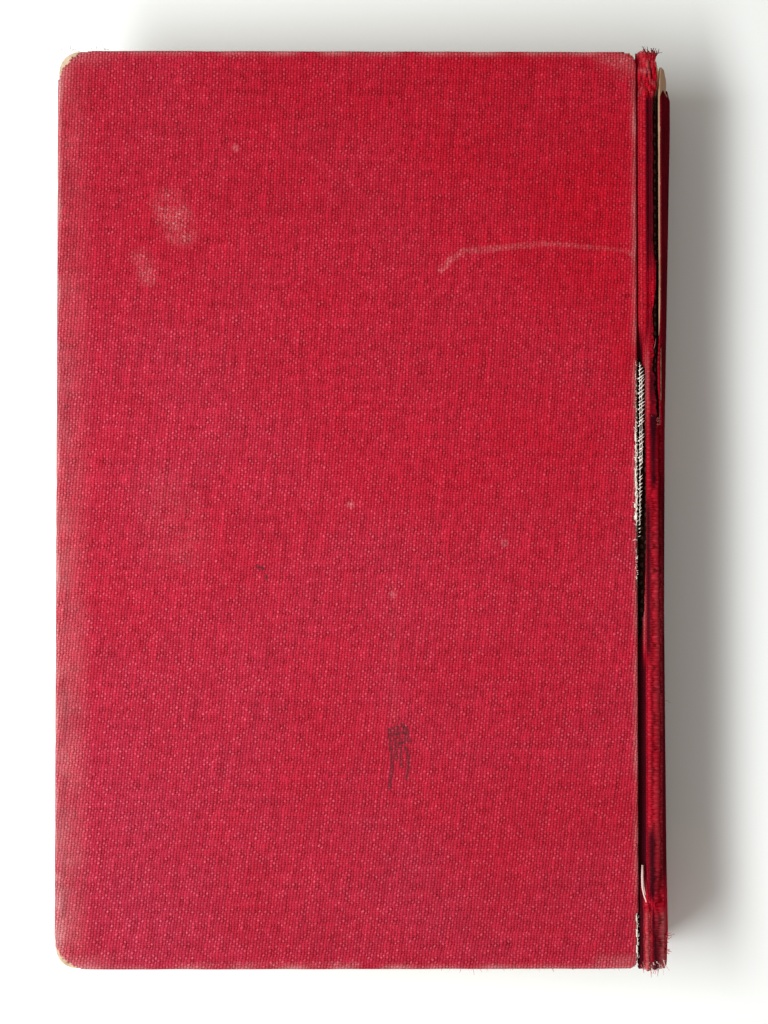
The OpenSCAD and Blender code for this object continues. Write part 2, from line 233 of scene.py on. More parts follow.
def dress(material, *nodes):
    for node in nodes:
        frame["nodes"][node].data.materials.clear()
        frame["nodes"][node].data.materials.append(material)


def point_normals(verts, quads):
    """The outward direction at each point of a sheet of quads."""
    across = np.cross(verts[quads[:, 2]] - verts[quads[:, 0]], verts[quads[:, 3]] - verts[quads[:, 1]])
    normals = np.zeros_like(verts)
    for corner in range(4):
        np.add.at(normals, quads[:, corner], across)
    return normals / np.maximum(np.linalg.norm(normals, axis=1, keepdims=True), 1e-12)


def thicken(verts, quads, thickness, attributes, both_sides):
    """Gives a sheet of quads its cut edges and, with both_sides, its other face too."""
    used = np.unique(quads)
    number = np.full(len(verts), -1)
    number[used] = np.arange(len(used))
    verts, quads = verts[used], number[quads]
    attributes = [(label, np.asarray(values)[used]) for label, values in attributes]
    count = len(verts)
    under = verts - point_normals(verts, quads) * thickness
    edges = np.concatenate([quads[:, [k, (k + 1) % 4]] for k in range(4)])
    edges = edges[edges[:, 0] != edges[:, 1]]
    known = {(a, b) for a, b in edges.tolist()}
    rim = [(a, b) for a, b in known if (b, a) not in known]
    faces = quads.tolist() + [[b, a, a + count, b + count] for a, b in sorted(rim)]
    if both_sides:
        faces += (quads[:, ::-1] + count).tolist()
    verts = np.concatenate([verts, under])
    attributes = [(label, np.concatenate([values, values])) for label, values in attributes]
    tidy = []
    for face in faces:
        corners = [v for k, v in enumerate(face) if v != face[k - 1]]
        if len(corners) > 2:
            tidy.append(corners)
    used = np.unique(np.concatenate([np.array(f) for f in tidy]))
    number = np.full(len(verts), -1)
    number[used] = np.arange(len(used))
    attributes = [(label, values[used]) for label, values in attributes]
    return verts[used], [[number[v] for v in face] for face in tidy], attributes


# Stations round a board's outline: (corner or side, share of it), anticlockwise from the fore-edge's head
corner_share = np.linspace(0, 1, 37)
long_share = np.arange(1, 230) / 230
short_share = np.arange(1, 140) / 140


def outline_ring(fore, ends, spine):
    """The outline drawn in by fore, ends and spine on its kinds of side: points and outward directions."""
    points, outward = [], []
    corners = ((cover_x0, 1, 90, fore_corner_r, fore), (cover_x0, -1, 180, fore_corner_r, fore),
               (cover_x1, -1, 270, spine_corner_r, spine), (cover_x1, 1, 0, spine_corner_r, spine))
    arcs = []
    for x, end, first_angle, radius, inset in corners:
        side = 1 if x < 0 else -1
        angle = np.radians(first_angle + 90 * corner_share)
        direction = np.stack([np.cos(angle), np.sin(angle)], 1)
        centre = np.array([x + side * max(radius, inset), end * (cover_half_h - max(radius, ends))])
        arcs.append((centre + direction * [max(radius - inset, 0), max(radius - ends, 0)], direction))
    for k, (arc, direction) in enumerate(arcs):
        share = (long_share if k % 2 == 0 else short_share)[:, None]
        following = arcs[(k + 1) % 4][0][0]
        points += [arc, arc[-1] * (1 - share) + following * share]
        outward += [direction, np.repeat(direction[-1:], len(share), 0)]
    return np.concatenate(points), np.concatenate(outward)


# Stations in the middle of each mitre, and along the spine side, where the cloth isn't turned in
corner_n, long_n, short_n = len(corner_share), len(long_share), len(short_share)
mitre_stations = [corner_n // 2, corner_n + long_n + corner_n // 2]
spine_first = 2 * corner_n + long_n + short_n + corner_n // 2
spine_station = np.arange(spine_first, spine_first + corner_n + long_n)


def cover_cloth(name, node, body, wear, bare_edge, material, seed, turned_over):
    """Cloth of one cover. wear is (x side, y side, radius) for each rubbed corner, and bare_edge(y) is the
    depth to which the cloth has gone along the board's spine edge."""
    inner_insets = [0.15, 0.5, 1.2, 2.2, 3.4, 5.4, 8, 11, turn_in_w]
    face_insets = [(cover_x1 - cover_x0) / 2, 60, 50, 41, 33, 26, 20,
                   15, 11, 8, 6.2, 4.8, 3.8, 3.0, 2.4, 1.9, 1.5, 1.1]
    rings = [(inset, inset, inset, 0.0, -inset) for inset in face_insets]
    for angle in np.radians((0, 20, 40, 60, 75, 90)):
        inset = edge_roll * (1 - math.sin(angle))
        rings.append((inset, inset, inset, edge_roll * (1 - math.cos(angle)), edge_roll * (angle - 1)))
    side_end = edge_roll * (math.pi / 2 - 1)
    for level in (1.2, 1.6, 2.0, 2.4, turn_in_face - 0.15):
        rings.append((0, 0, 0, level, side_end + level - edge_roll))
    for inset in inner_insets:
        rings.append((inset, inset, 0.0, turn_in_face, side_end + turn_in_face - edge_roll + inset))
    verts, cut, wear_and_highlight = [], [], []
    for fore, ends, spine, level, past in rings:
        flat, outward = outline_ring(fore, ends, spine)
        z = np.full(len(flat), level)
        if past < -edge_roll:
            settle = min(1.0, (fore - edge_roll) / 6)
            z = z + settle * 0.07 * hash_wave(flat[:, 0] / 34, flat[:, 1] / 34, seed)
        elif level <= 2.6:
            worn_in = 0.07 * np.clip(hash_wave(flat[:, 0] / 7, flat[:, 1] / 7, seed + 1), 0, 1)
            flat = flat - outward * worn_in[:, None]
        if level == turn_in_face and fore > 1:
            count = len(corner_share)
            for k, first in enumerate((0, count + len(long_share))):
                middle = first + count // 2 + 1
                flat[first:middle, k] += mitre_half
                flat[middle:first + count, 1 - k] += (-mitre_half, mitre_half)[k]
        verts.append(np.column_stack([flat, z]))
        start = outline_ring(0, 0, 0)[0]
        unrolled = flat if past <= -edge_roll else start + outward * past
        cut.append(np.column_stack([unrolled, np.zeros(len(flat))]))
        closeness = math.exp(-((past + 0.35) / 0.75) ** 2)
        from_corner = np.abs(flat[:, 0] - cover_x0) ** 2 + (cover_half_h - np.abs(flat[:, 1])) ** 2
        at_corner = np.exp(-(from_corner / 90))
        at_fore_edge = np.exp(-((flat[:, 0] - cover_x0) / 3.0) ** 2)
        patchy = 0.3 * hash_wave(flat[:, 0] / 9, flat[:, 1] / 9, seed + 2)
        wear_and_highlight.append(closeness * (0.30 + 0.25 * at_fore_edge + patchy)
                   + 0.6 * at_corner * math.exp(-((past + 0.4) / 3) ** 2))
    count = len(verts[0])
    verts, cut, wear_and_highlight = np.concatenate(verts), np.concatenate(cut), np.clip(np.concatenate(wear_and_highlight), 0, 1)
    ring_at, station = np.meshgrid(np.arange(len(rings) - 1), np.arange(count), indexing="ij")
    following = (station + 1) % count
    _, first_of, number = np.unique(np.round(verts, 3), axis=0, return_index=True, return_inverse=True)
    quads = np.stack([ring_at * count + station, ring_at * count + following,
                      (ring_at + 1) * count + following, (ring_at + 1) * count + station], -1).reshape(-1, 4)
    verts, cut, wear_and_highlight = verts[first_of], cut[first_of], wear_and_highlight[first_of]
    quads = number.reshape(-1)[quads]
    centre = verts[quads].mean(1)
    keep = np.ones(len(quads), bool)
    x, y, z = centre.T
    for x_side, y_side, radius in wear:
        edge_x = cover_x0 if x_side < 0 else cover_x1
        from_x = radius - np.abs(x - edge_x)
        from_y = radius - np.abs(y_side * cover_half_h - y)
        reach = np.hypot(np.maximum(from_x, 0), np.maximum(from_y, 0))
        ragged = 0.20 * hash_wave(x / 0.9, y / 0.9, seed + 3) + 0.20 * hash_wave(x / 0.3, y / 0.3, seed + 4)
        gone = (from_x > 0) & (from_y > 0) & (reach + ragged > radius)
        keep &= ~gone
    spine_side = cover_x1 - x
    keep &= ~(spine_side < bare_edge(y) + 0.14 * hash_wave(x / 0.8, y / 0.4, seed + 5) * (bare_edge(y) > 0))
    inner = ring_at.reshape(-1) >= len(rings) - len(inner_insets)
    on_spine_side = np.isin(station.reshape(-1), np.arange(count)[spine_station])
    keep &= ~(inner & on_spine_side)
    mitre_column = np.isin(station.reshape(-1), mitre_stations)
    keep &= ~(mitre_column & (ring_at.reshape(-1) >= len(rings) - len(inner_insets) + 3))
    quads = quads[keep]
    if turned_over:
        verts[:, 2] = book_t - verts[:, 2]
        quads = quads[:, ::-1]
    extra = [("cut", cut), ("wear_and_highlight", wear_and_highlight), ("dirt_and_shade", 0 * wear_and_highlight)]
    verts, faces, extra = thicken(verts, quads, cloth_t * 0.9, extra, False)
    cloth = make_object(name, verts, faces, material, extra)
    stand_in(cloth, body, node)


def group(name, inputs, outputs):
    """A shader node group with named inputs and outputs, given as (name, kind) pairs."""
    tree = bpy.data.node_groups.new(name, "ShaderNodeTree")
    for label, kind in inputs:
        tree.interface.new_socket(label, in_out="INPUT", socket_type="NodeSocket" + kind)
    for label, kind in outputs:
        tree.interface.new_socket(label, in_out="OUTPUT", socket_type="NodeSocket" + kind)
    given, result = tree.nodes.new("NodeGroupInput"), tree.nodes.new("NodeGroupOutput")

    def give(label, value):
        tree.links.new(value, result.inputs[label])

    return tree, given.outputs, give


def use(tree, node_group, **inputs):
    """Places a node group; its inputs are given by name, with _ for a space. Gives back its outputs."""
    node = tree.nodes.new("ShaderNodeGroup")
    node.node_tree = node_group
    for label, value in inputs.items():
        socket = node.inputs[label.replace("_", " ")]
        if isinstance(value, bpy.types.NodeSocket):
            tree.links.new(value, socket)
        else:
            socket.default_value = value
    return node.outputs


# Plain weave: warp threads up the cloth and weft threads across it pass over and under in turn
weave, given, give = group(
    "plain weave",
    [("Cut", "Vector"), ("Warp pitch", "Float"), ("Weft pitch", "Float")],
    [("Height", "Float"), ("Crossing", "Float"), ("Tone", "Float")],
)
t = weave
drift = vector_calc(t, "SUBTRACT", noise(t, given["Cut"], 0.5, 3, 0.6, out=1), (0.5, 0.5, 0.5))
loose = vector_calc(t, "ADD", given["Cut"], drift)
split = put(t, "ShaderNodeSeparateXYZ", loose).node
across, up = split.outputs[0], split.outputs[1]
u = calc(t, "DIVIDE", across, given["Warp pitch"])
v = calc(t, "DIVIDE", up, given["Weft pitch"])
crowns = []
for first, second, phase in ((u, v, 0.0), (v, u, math.pi)):
    crown = calc(t, "ABSOLUTE", calc(t, "SINE", calc(t, "MULTIPLY", first, math.pi)))
    turn = calc(t, "MULTIPLY", calc(t, "ADD", second, calc(t, "FLOOR", first)), math.pi)
    over = calc(t, "MULTIPLY_ADD", calc(t, "COSINE", calc(t, "ADD", turn, phase + math.pi / 2)), 0.5, 0.5)
    crowns.append(calc(t, "MULTIPLY", calc(t, "POWER", crown, 0.8), calc(t, "MULTIPLY_ADD", over, 0.7, 0.3)))
crowns[1] = calc(t, "MULTIPLY", crowns[1], 0.62)
give("Height", calc(t, "MAXIMUM", *crowns))
crossing = put(t, "ShaderNodeCombineXYZ", calc(t, "FLOOR", u), calc(t, "FLOOR", v))
give("Crossing", put(t, "ShaderNodeTexWhiteNoise", crossing))
warp_at = put(t, "ShaderNodeCombineXYZ", calc(t, "FLOOR", u), calc(t, "MULTIPLY", v, 0.05))
weft_at = put(t, "ShaderNodeCombineXYZ", calc(t, "MULTIPLY", u, 0.05), calc(t, "FLOOR", v), 7.0)
warp_tone, weft_tone = noise(t, warp_at, 0.8), noise(t, weft_at, 0.8)
give("Tone", calc(t, "MULTIPLY_ADD", warp_tone, 0.7, calc(t, "MULTIPLY", weft_tone, 0.3)))

# Book cloth: dyed threads, painted shade in the gaps between them, a painted pink highlight on their tops
book_cloth, given, give = group(
    "book cloth",
    [("Cut", "Vector"), ("Fade", "Float"), ("Rub", "Float"), ("Soil", "Float")],
    [("Color", "Color"), ("Roughness", "Float"), ("Height", "Float")],
)
t = book_cloth
threads = use(t, weave, Cut=given["Cut"], Warp_pitch=warp_pitch, Weft_pitch=weft_pitch)
thread_gap_shade, ground, faded = (0.13, 0.001, 0.003, 1), (0.48, 0.004, 0.017, 1), (0.44, 0.026, 0.062, 1)
pale_wear_and_highlight, nap_highlight_pink, dirt_and_shade_color = (0.60, 0.28, 0.29, 1), (0.76, 0.19, 0.27, 1), (0.022, 0.003, 0.006, 1)
dyed = blend_colors(t, given["Fade"], ground, faded)
uneven = noise(t, given["Cut"], 0.5, 3, 0.7)
raised = calc(t, "SUBTRACT", threads["Height"], 0.35)
# Painted shade: away from the thread crests the colour goes to a near-black gap colour
crests = spread(t, calc(t, "MULTIPLY_ADD", uneven, 0.7, raised), 0.15, 0.62)
blotch = noise(t, given["Cut"], 0.16, 4, 0.6)
color = blend_colors(t, crests, thread_gap_shade, dyed)
# Painted highlight: a pink colour on the raised tops of some threads, in patches, stronger where the cloth is
# faded
patch = spread(t, noise(t, given["Cut"], 0.35, 4, 0.65), 0.35, 0.65, 0.25, 1.0)
lucky = spread(t, threads["Crossing"], 0.35, 1.0)
nap_highlight = calc(t, "MULTIPLY", calc(t, "MULTIPLY", spread(t, threads["Height"], 0.6, 0.95), lucky), patch)
nap_highlight = calc(t, "MULTIPLY", nap_highlight, calc(t, "MULTIPLY_ADD", given["Fade"], 0.65, 0.12))
color = blend_colors(t, nap_highlight, color, nap_highlight_pink)
# A paler, rougher nap where the cloth is rubbed, and the same pale colour as a painted highlight where one is
# given
wear = calc(t, "MULTIPLY", given["Rub"], spread(t, calc(t, "ADD", threads["Height"], blotch), 0.55, 1.25))
color = blend_colors(t, wear, color, pale_wear_and_highlight)
# Darker where the cloth is dirty, and where painted shade is given
color = blend_colors(t, given["Soil"], color, dirt_and_shade_color)
shade = spread(t, threads["Tone"], 0.3, 0.7, 0.78, 1.15)
color = blend_colors(t, 1.0, color, put(t, "ShaderNodeCombineColor", shade, shade, shade), "MULTIPLY")
give("Color", color)
give("Roughness", spread(t, wear, 0.0, 1.0, 0.72, 0.9))
give("Height", threads["Height"])

# Mark drawn from one point of the cloth to another, with soft sides
stroke, given, give = group(
    "stroke",
    [("Cut", "Vector"), ("From", "Vector"), ("To", "Vector"), ("Width", "Float")],
    [("Mask", "Float")],
)
t = stroke
run = vector_calc(t, "SUBTRACT", given["To"], given["From"])
rel = vector_calc(t, "SUBTRACT", given["Cut"], given["From"])
along_run = vector_calc(t, "DOT_PRODUCT", rel, run, out=1)
run_squared = vector_calc(t, "DOT_PRODUCT", run, run, out=1)
share = put(t, "ShaderNodeClamp", calc(t, "DIVIDE", along_run, run_squared))
shares = put(t, "ShaderNodeCombineXYZ", share, share, share)
nearest = vector_calc(t, "MULTIPLY_ADD", run, shares, given["From"])
away = vector_calc(t, "DISTANCE", given["Cut"], nearest, out=1)
give("Mask", spread(t, calc(t, "DIVIDE", away, given["Width"]), 0.2, 0.65, 1.0, 0.0))

# Places on the back cover are read off the photograph in pixels, and turned into millimetres
px_mm = 0.2422
px_middle = (347.0, 510.5)
cover_middle_x = (cover_x0 + cover_x1) / 2


def from_photo(px, py):
    return (cover_middle_x + (px - px_middle[0]) * px_mm, (px_middle[1] - py) * px_mm, 0.0)


scratch_px = [(441, 272), (450, 262), (464, 254), (496, 251), (543, 246), (577, 248), (607, 251), (632, 254)]
pen_px = [[(389, 731), (391, 754), (392, 769), (389, 789)], [(393, 729), (395, 742), (396, 760)],
          [(397, 727), (400, 743), (401, 768)], [(402, 725), (405, 735), (404, 744)],
          [(406, 729), (408, 741)],
          [(405, 749), (408, 757), (408, 769), (406, 780)], [(390, 737), (407, 733)],
          [(397, 746), (409, 742)]]
dark_specks_px = [(258, 569), (262, 570), (266, 579), (104, 50)]
pale_specks_px = [(350, 507), (503, 545), (392, 597), (235, 150), (631, 255)]
scuffs_px = [((168, 208), (180, 232), 34, 1.0), ((142, 262), (148, 278), 22, 0.9),
             ((165, 500), (180, 545), 60, 0.3), ((180, 964), (360, 964), 7, 0.8),
             ((608, 62), (630, 68), 26, 0.9), ((633, 75), (633, 130), 7, 0.5)]
paler_px = [((57, 880), (59, 958), 24, 0.85), ((393, 590), (394, 722), 9, 0.04),
            ((600, 50), (636, 66), 22, 0.25), ((600, 962), (634, 962), 16, 0.3)]
# Painted shade along two fold lines near the fore-edge, in pixels
crease_shade_px = [((67, 150), (70, 400), 7, 1.0), ((69, 400), (66, 930), 6, 1.0)]


def sum_of_marks(tree, cut, marks):
    """The strongest of several strokes, each (from, to, width, strength)."""
    total = None
    for start, end, width, strength in marks:
        mask = use(tree, stroke, Cut=cut, From=start, To=end, Width=width)["Mask"]
        mask = calc(tree, "MULTIPLY", mask, strength)
        total = mask if total is None else calc(tree, "MAXIMUM", total, mask)
    return total


def strongest(tree, value, mask, strength):
    """value, or mask times strength where that is more."""
    return calc(tree, "MAXIMUM", value, calc(tree, "MULTIPLY", mask, strength))


def dots(places_px, width, strength):
    """Strokes one pixel long, at places in the photograph."""
    return [(from_photo(*p), from_photo(p[0] + 1, p[1] + 1), width, strength) for p in places_px]


def cloth_material(name, fade_low, fade_high, on_cover, marked=False):
    """Book cloth that reads cut, wear with painted highlights, and dirt with painted shade off its sheet.
    marked adds the photographed cover's marks.
    """
    material, tree, feed = new_material(name)
    cut = put(tree, "ShaderNodeAttribute", attribute_name="cut", out=1)
    wear_and_highlight = put(tree, "ShaderNodeAttribute", attribute_name="wear_and_highlight", out=2)
    split = put(tree, "ShaderNodeSeparateXYZ", cut).node
    x, y = split.outputs[0], split.outputs[1]
    lean = calc(tree, "MULTIPLY", y, calc(tree, "MULTIPLY_ADD", y, -0.0002, 0.087))
    leaning = put(tree, "ShaderNodeCombineXYZ", calc(tree, "SUBTRACT", x, lean), y, 0.0)
    slope = calc(tree, "MULTIPLY_ADD", x, -0.0032, calc(tree, "MULTIPLY_ADD", y, -0.0022, 0.5))
    cloudy = noise(tree, cut, 0.022, 4, 0.6)
    fade = calc(tree, "ADD", slope, calc(tree, "MULTIPLY_ADD", cloudy, 1.1, -0.55))
    fade = spread(tree, fade, 0.0, 1.0, fade_low, fade_high)
    specks = spread(tree, noise(tree, cut, 1.3, 3, 0.7), 0.70, 0.78, 0.0, 0.5)
    wear_and_highlight = calc(tree, "ADD", wear_and_highlight, calc(tree, "MULTIPLY", specks, fade))
    # Dark random dirt spots; on the spine the sheet's own values add painted shade in hollows and on sides
    # turned from the light
    dirt_and_shade = spread(tree, noise(tree, cut, 0.9, 4, 0.65), 0.66, 0.8, 0.0, 0.5)
    sheet_dirt_and_shade = put(tree, "ShaderNodeAttribute", attribute_name="dirt_and_shade", out=2)
    dirt_and_shade = calc(tree, "MAXIMUM", dirt_and_shade, calc(tree, "MULTIPLY", sheet_dirt_and_shade, 0.85) if on_cover else sheet_dirt_and_shade)
    if marked:
        scratch = [from_photo(*p) for p in scratch_px]
        pale = [(a, b, 1.9 - 0.14 * k, 1.15 - 0.12 * k) for k, (a, b) in enumerate(zip(scratch, scratch[1:]))]
        pale += dots(pale_specks_px, 1.7, 1.4)
        broken = spread(tree, noise(tree, cut, 0.9, 5, 0.75), 0.42, 0.66, 0.04, 0.48)
        wear_and_highlight = strongest(tree, wear_and_highlight, sum_of_marks(tree, cut, pale), broken)
        soft, even, pressed = (
            [(from_photo(*a), from_photo(*b), width * px_mm, strength) for a, b, width, strength in marks]
            for marks in (scuffs_px, paler_px, crease_shade_px)
        )
        patchy = calc(tree, "MULTIPLY", spread(tree, noise(tree, cut, 0.22, 5, 0.75), 0.35, 0.62),
                      spread(tree, noise(tree, cut, 1.5, 3, 0.7), 0.50, 0.66, 0.14, 1.0))
        wear_and_highlight = strongest(tree, wear_and_highlight, sum_of_marks(tree, cut, soft), patchy)
        near_fore_edge = spread(tree, x, cover_x0 + 1.5, cover_x0 + 9, 1.0, 0.0)
        handled = calc(tree, "MULTIPLY", near_fore_edge, spread(tree, y, 60.0, -80.0, 0.16, 0.40))
        even = calc(tree, "MAXIMUM", sum_of_marks(tree, cut, even), handled)
        wear_and_highlight = strongest(tree, wear_and_highlight, even, spread(tree, noise(tree, cut, 0.12, 4, 0.7), 0.3, 0.65, 0.45, 1.0))
        # Painted shade along the fold lines, broken up by noise
        uneven = spread(tree, noise(tree, cut, 0.07, 3), 0.4, 0.65, 0.0, 0.3)
        dirt_and_shade = strongest(tree, dirt_and_shade, sum_of_marks(tree, cut, pressed), uneven)
        pen = [pair for line in pen_px for pair in zip(line, line[1:])]
        dark = [(from_photo(*a), from_photo(*b), 0.95, 1.0) for a, b in pen]
        dark += dots(dark_specks_px, 1.1, 1.0)
        worn_ink = spread(tree, noise(tree, cut, 1.9, 4, 0.75), 0.38, 0.58, 0.10, 0.90)
        ink = calc(tree, "MULTIPLY", sum_of_marks(tree, cut, dark), worn_ink)
        dirt_and_shade = calc(tree, "MULTIPLY", dirt_and_shade, 0.85)
    finish = use(tree, book_cloth, Cut=leaning if on_cover else cut, Fade=fade, Rub=wear_and_highlight, Soil=dirt_and_shade)
    # Painted light: the cover is a little brighter across its middle and darker towards head and tail, as if
    # the light fell off
    middle = spread(tree, calc(tree, "ABSOLUTE", y), 20.0, cover_half_h, 1.06, 0.97) if marked else 1.0
    tone = put(tree, "ShaderNodeCombineColor", middle, middle, middle)
    color = blend_colors(tree, 1.0, finish["Color"], tone, "MULTIPLY")
    feed("Base Color", blend_colors(tree, ink, color, (0.040, 0.018, 0.024, 1)) if marked else color)
    feed("Roughness", finish["Roughness"])
    feed("Normal", bump(tree, finish["Height"], 0.16 * MM, 0.8))
    feed("Specular IOR Level", 0.05 if on_cover else 0.0)
    return material


back_cover_cloth = cloth_material("back_cover_cloth", 0.1, 1.0, True, marked=True)
front_cover_cloth = cloth_material("front_cover_cloth", 0.0, 0.75, True)

torn_low, torn_high = -19.0, 36.0


def back_bare_edge(y):
    """Cloth is gone along the torn joint, and is rubbed through near the tail."""
    torn = np.interp(y, [torn_low, -18, -16, -6, -2, 10, 19, 22, torn_high],
                     [0, 0.5, 0.1, 0.25, 0.75, 0.7, 0.7, 0.35, 0.2])
    torn = np.where((y > torn_low) & (y < torn_high), torn + 0.12 * np.sin(y * 2.3), 0)
    rubbed_tail = np.where((y < -97.5) & (y > -109.6), 0.65 + 0.2 * np.sin(y * 1.7), 0)
    return torn + rubbed_tail


cover_cloth("back_cover_cloth", "back_cloth", "back_cover",
            [(-1, 1, 9.6), (-1, -1, 9.0), (1, 1, 4.2), (1, -1, 3.4)],
            back_bare_edge, back_cover_cloth, 11, True)
cover_cloth("front_cover_cloth", "front_cloth", "front_cover",
            [(-1, 1, 7.6), (-1, -1, 8.2), (1, -1, 3.0)], lambda y: 0 * y, front_cover_cloth, 23, False)


# --- Boards ---
# Straw-coloured binder's board, pressed from paper pulp in thin layers. It shows where the cloth has
# gone: at the corners, along the torn joint, and round its own cut edges.
board_stuff, tree, feed = new_material("binders_board")
place = put(tree, "ShaderNodeTexCoord", out=3)
layers = put(tree, "ShaderNodeMapping", place, None, None, (300.0, 300.0, 4200.0))
fibre = noise(tree, layers, 1.0, 5, 0.65)
pulp = noise(tree, place, 900.0, 4, 0.6)
tone = blend_colors(tree, spread(tree, fibre, 0.3, 0.7), (0.36, 0.25, 0.15, 1), (0.66, 0.54, 0.38, 1))
tone = blend_colors(tree, spread(tree, pulp, 0.5, 0.75, 0.0, 0.5), tone, (0.80, 0.72, 0.58, 1))
across_cover = put(tree, "ShaderNodeSeparateXYZ", place)
torn_open = spread(tree, across_cover, 0.0635, 0.0645)
tone = blend_colors(tree, torn_open, tone, (0.80, 0.77, 0.70, 1))
feed("Base Color", tone)
feed("Roughness", 0.95)
feed("Specular IOR Level", 0.2)
feed("Normal", bump(tree, calc(tree, "ADD", fibre, pulp), 0.12 * MM))
dress(board_stuff, "back_board", "front_board")


# --- Pages ---
# Sewn sections of uncoated paper, trimmed at head, tail and fore-edge, then rounded and backed, so the
# fore-edge is hollow and the leaves flare out to two shoulders at the spine. The edges have gone brown.
page_low, page_high = np.array(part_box("text_block")) / MM
page_fore_x = page_low[0]
page_half_h = page_high[1]
hinge_x = frame["joints"][0]["pos_m"][0] / MM
mid_z = book_t / 2
rise = mid_z - (frame["joints"][1]["pos_m"][2] / MM + 0.125)
round_r = 50.0
shoulder_h = 2.1
shoulder_foot = hinge_x - 2.05
crest_x, crest_r = hinge_x - 0.30, 0.45
crest_z = rise + shoulder_h - crest_r
arc_x = crest_x + crest_r - math.sqrt(round_r**2 - crest_z**2)
leaf_rows = 84
leaf_columns = 60


def leaf_level(share, x):
    """Height of a leaf at x, lifted towards the shoulder. share is -1 at the front and 1 at the back."""
    bend = crest_x - shoulder_foot + 8 * (1 - np.abs(share))
    flare = np.clip((x - crest_x + bend) / bend, 0, 1)
    return mid_z + share * (rise - 0.18 + (shoulder_h - 0.1) * flare**2 * (3 - 2 * flare))


share = np.linspace(-1, 1, leaf_rows)
rng = np.random.default_rng(5)
leaf_step = rng.normal(0, 0.045, leaf_rows) + 0.10 * np.sin(np.arange(leaf_rows) * math.tau / 7.3)
fore_arc = page_fore_x - math.sqrt(round_r**2 - rise**2) + np.sqrt(round_r**2 - (share * rise) ** 2)
back_arc = arc_x + np.sqrt(round_r**2 - (share * (crest_z - 0.2)) ** 2) - 0.25
along_x = np.linspace(0, 1, leaf_columns)
along_y = np.linspace(-1, 1, 90)
blocks, block_faces, leaf_at = [], [], []


def add_grid(x, y, z, leaves, flip):
    """Adds one side of the block as a grid of quads."""
    quads = grid_quads(*x.shape) + sum(len(b) for b in blocks)
    block_faces.extend((quads[:, ::-1] if flip else quads).tolist())
    blocks.append(np.stack([x, np.broadcast_to(y, x.shape), z], -1).reshape(-1, 3))
    leaf_at.append(leaves.reshape(-1))


for end in (-1, 1):
    x = fore_arc[:, None] * (1 - along_x) + back_arc[:, None] * along_x
    depth = leaf_step[:, None] + 0.05 * hash_wave(x / 11, share[:, None] * 9, 31 + end)
    y = end * (page_half_h - 0.12 + np.clip(depth, -0.3, 0.1))
    add_grid(x, y, leaf_level(share[:, None], x), np.repeat(share[:, None], leaf_columns, 1), end > 0)
y = along_y[None, :] * (page_half_h - 0.15)
leaves = np.repeat(share[:, None], len(along_y), 1)
x = fore_arc[:, None] + 0.1 - leaf_step[::-1, None] + 0.06 * hash_wave(y / 13, share[:, None] * 8, 37)
add_grid(x, y, leaf_level(share[:, None], x), leaves, True)
x = np.repeat(back_arc[:, None], len(along_y), 1)
add_grid(x, y, leaf_level(share[:, None], x), leaves, False)
for side in (-1, 1):
    x = (fore_arc[0] + 0.1) * (1 - along_x)[:, None] + back_arc[0] * along_x[:, None] + 0 * y
    leaves = np.full(x.shape, float(side))
    add_grid(x, y, leaf_level(leaves, x), leaves, side > 0)

page_paper, tree, feed = new_material("page_edges")
place = put(tree, "ShaderNodeTexCoord", out=3)
leaf = put(tree, "ShaderNodeAttribute", attribute_name="leaf", out=2)
lengthwise = put(tree, "ShaderNodeMapping", place, None, None, (14.0, 14.0, 0.0))
level = put(tree, "ShaderNodeCombineXYZ", 0.0, 0.0, calc(tree, "MULTIPLY", leaf, 70.0))
stretched = vector_calc(tree, "ADD", lengthwise, level)
lines = noise(tree, stretched, 1.0, 3, 0.6)
sections = calc(tree, "MULTIPLY_ADD", calc(tree, "COSINE", calc(tree, "MULTIPLY", leaf, 36.0)), 0.5, 0.5)
leaf_lines = spread(tree, lines, 0.35, 0.65)
paper_tone = blend_colors(tree, leaf_lines, (0.40, 0.29, 0.17, 1), (0.74, 0.64, 0.48, 1))
folds = calc(tree, "MULTIPLY", spread(tree, sections, 0.9, 1.0), 0.4)
paper_tone = blend_colors(tree, folds, paper_tone, (0.28, 0.19, 0.11, 1))
dust = spread(tree, noise(tree, place, 60.0, 4, 0.6), 0.45, 0.75, 0.0, 0.35)
paper_tone = blend_colors(tree, dust, paper_tone, (0.36, 0.28, 0.2, 1))
feed("Base Color", paper_tone)
feed("Roughness", 0.92)
feed("Specular IOR Level", 0.2)
feed("Normal", bump(tree, lines, 0.1 * MM))
leaf_values = [("leaf", np.concatenate(leaf_at))]
pages = make_object("page_block", np.concatenate(blocks), block_faces, page_paper, leaf_values)
stand_in(pages, "pages", "text_block")


# --- Endpapers, backing wings and sewing ---
# A folded sheet of aged paper at each end: one half pasted inside the cover, the other half free.
# Linen thread sews the sections, and the backing's wings lie under the pasted halves.
def paper_material(name, pale, brown, grain):
    material, tree, feed = new_material(name)
    place = put(tree, "ShaderNodeTexCoord", out=3)
    fibres = noise(tree, place, grain, 5, 0.65)
    clouds = noise(tree, place, 14.0, 4, 0.6)
    spots = spread(tree, noise(tree, place, 160.0, 2, 0.5), 0.70, 0.80, 0.0, 0.6)
    tone = blend_colors(tree, spread(tree, clouds, 0.35, 0.75), pale, brown)
    tone = blend_colors(tree, spots, tone, (0.42, 0.25, 0.10, 1))
    tone = blend_colors(tree, spread(tree, fibres, 0.4, 0.7, 0.0, 0.18), tone, (0.35, 0.26, 0.16, 1))
    feed("Base Color", tone)
    feed("Roughness", 0.88)
    feed("Specular IOR Level", 0.25)
    feed("Normal", bump(tree, fibres, 0.05 * MM))
    return material


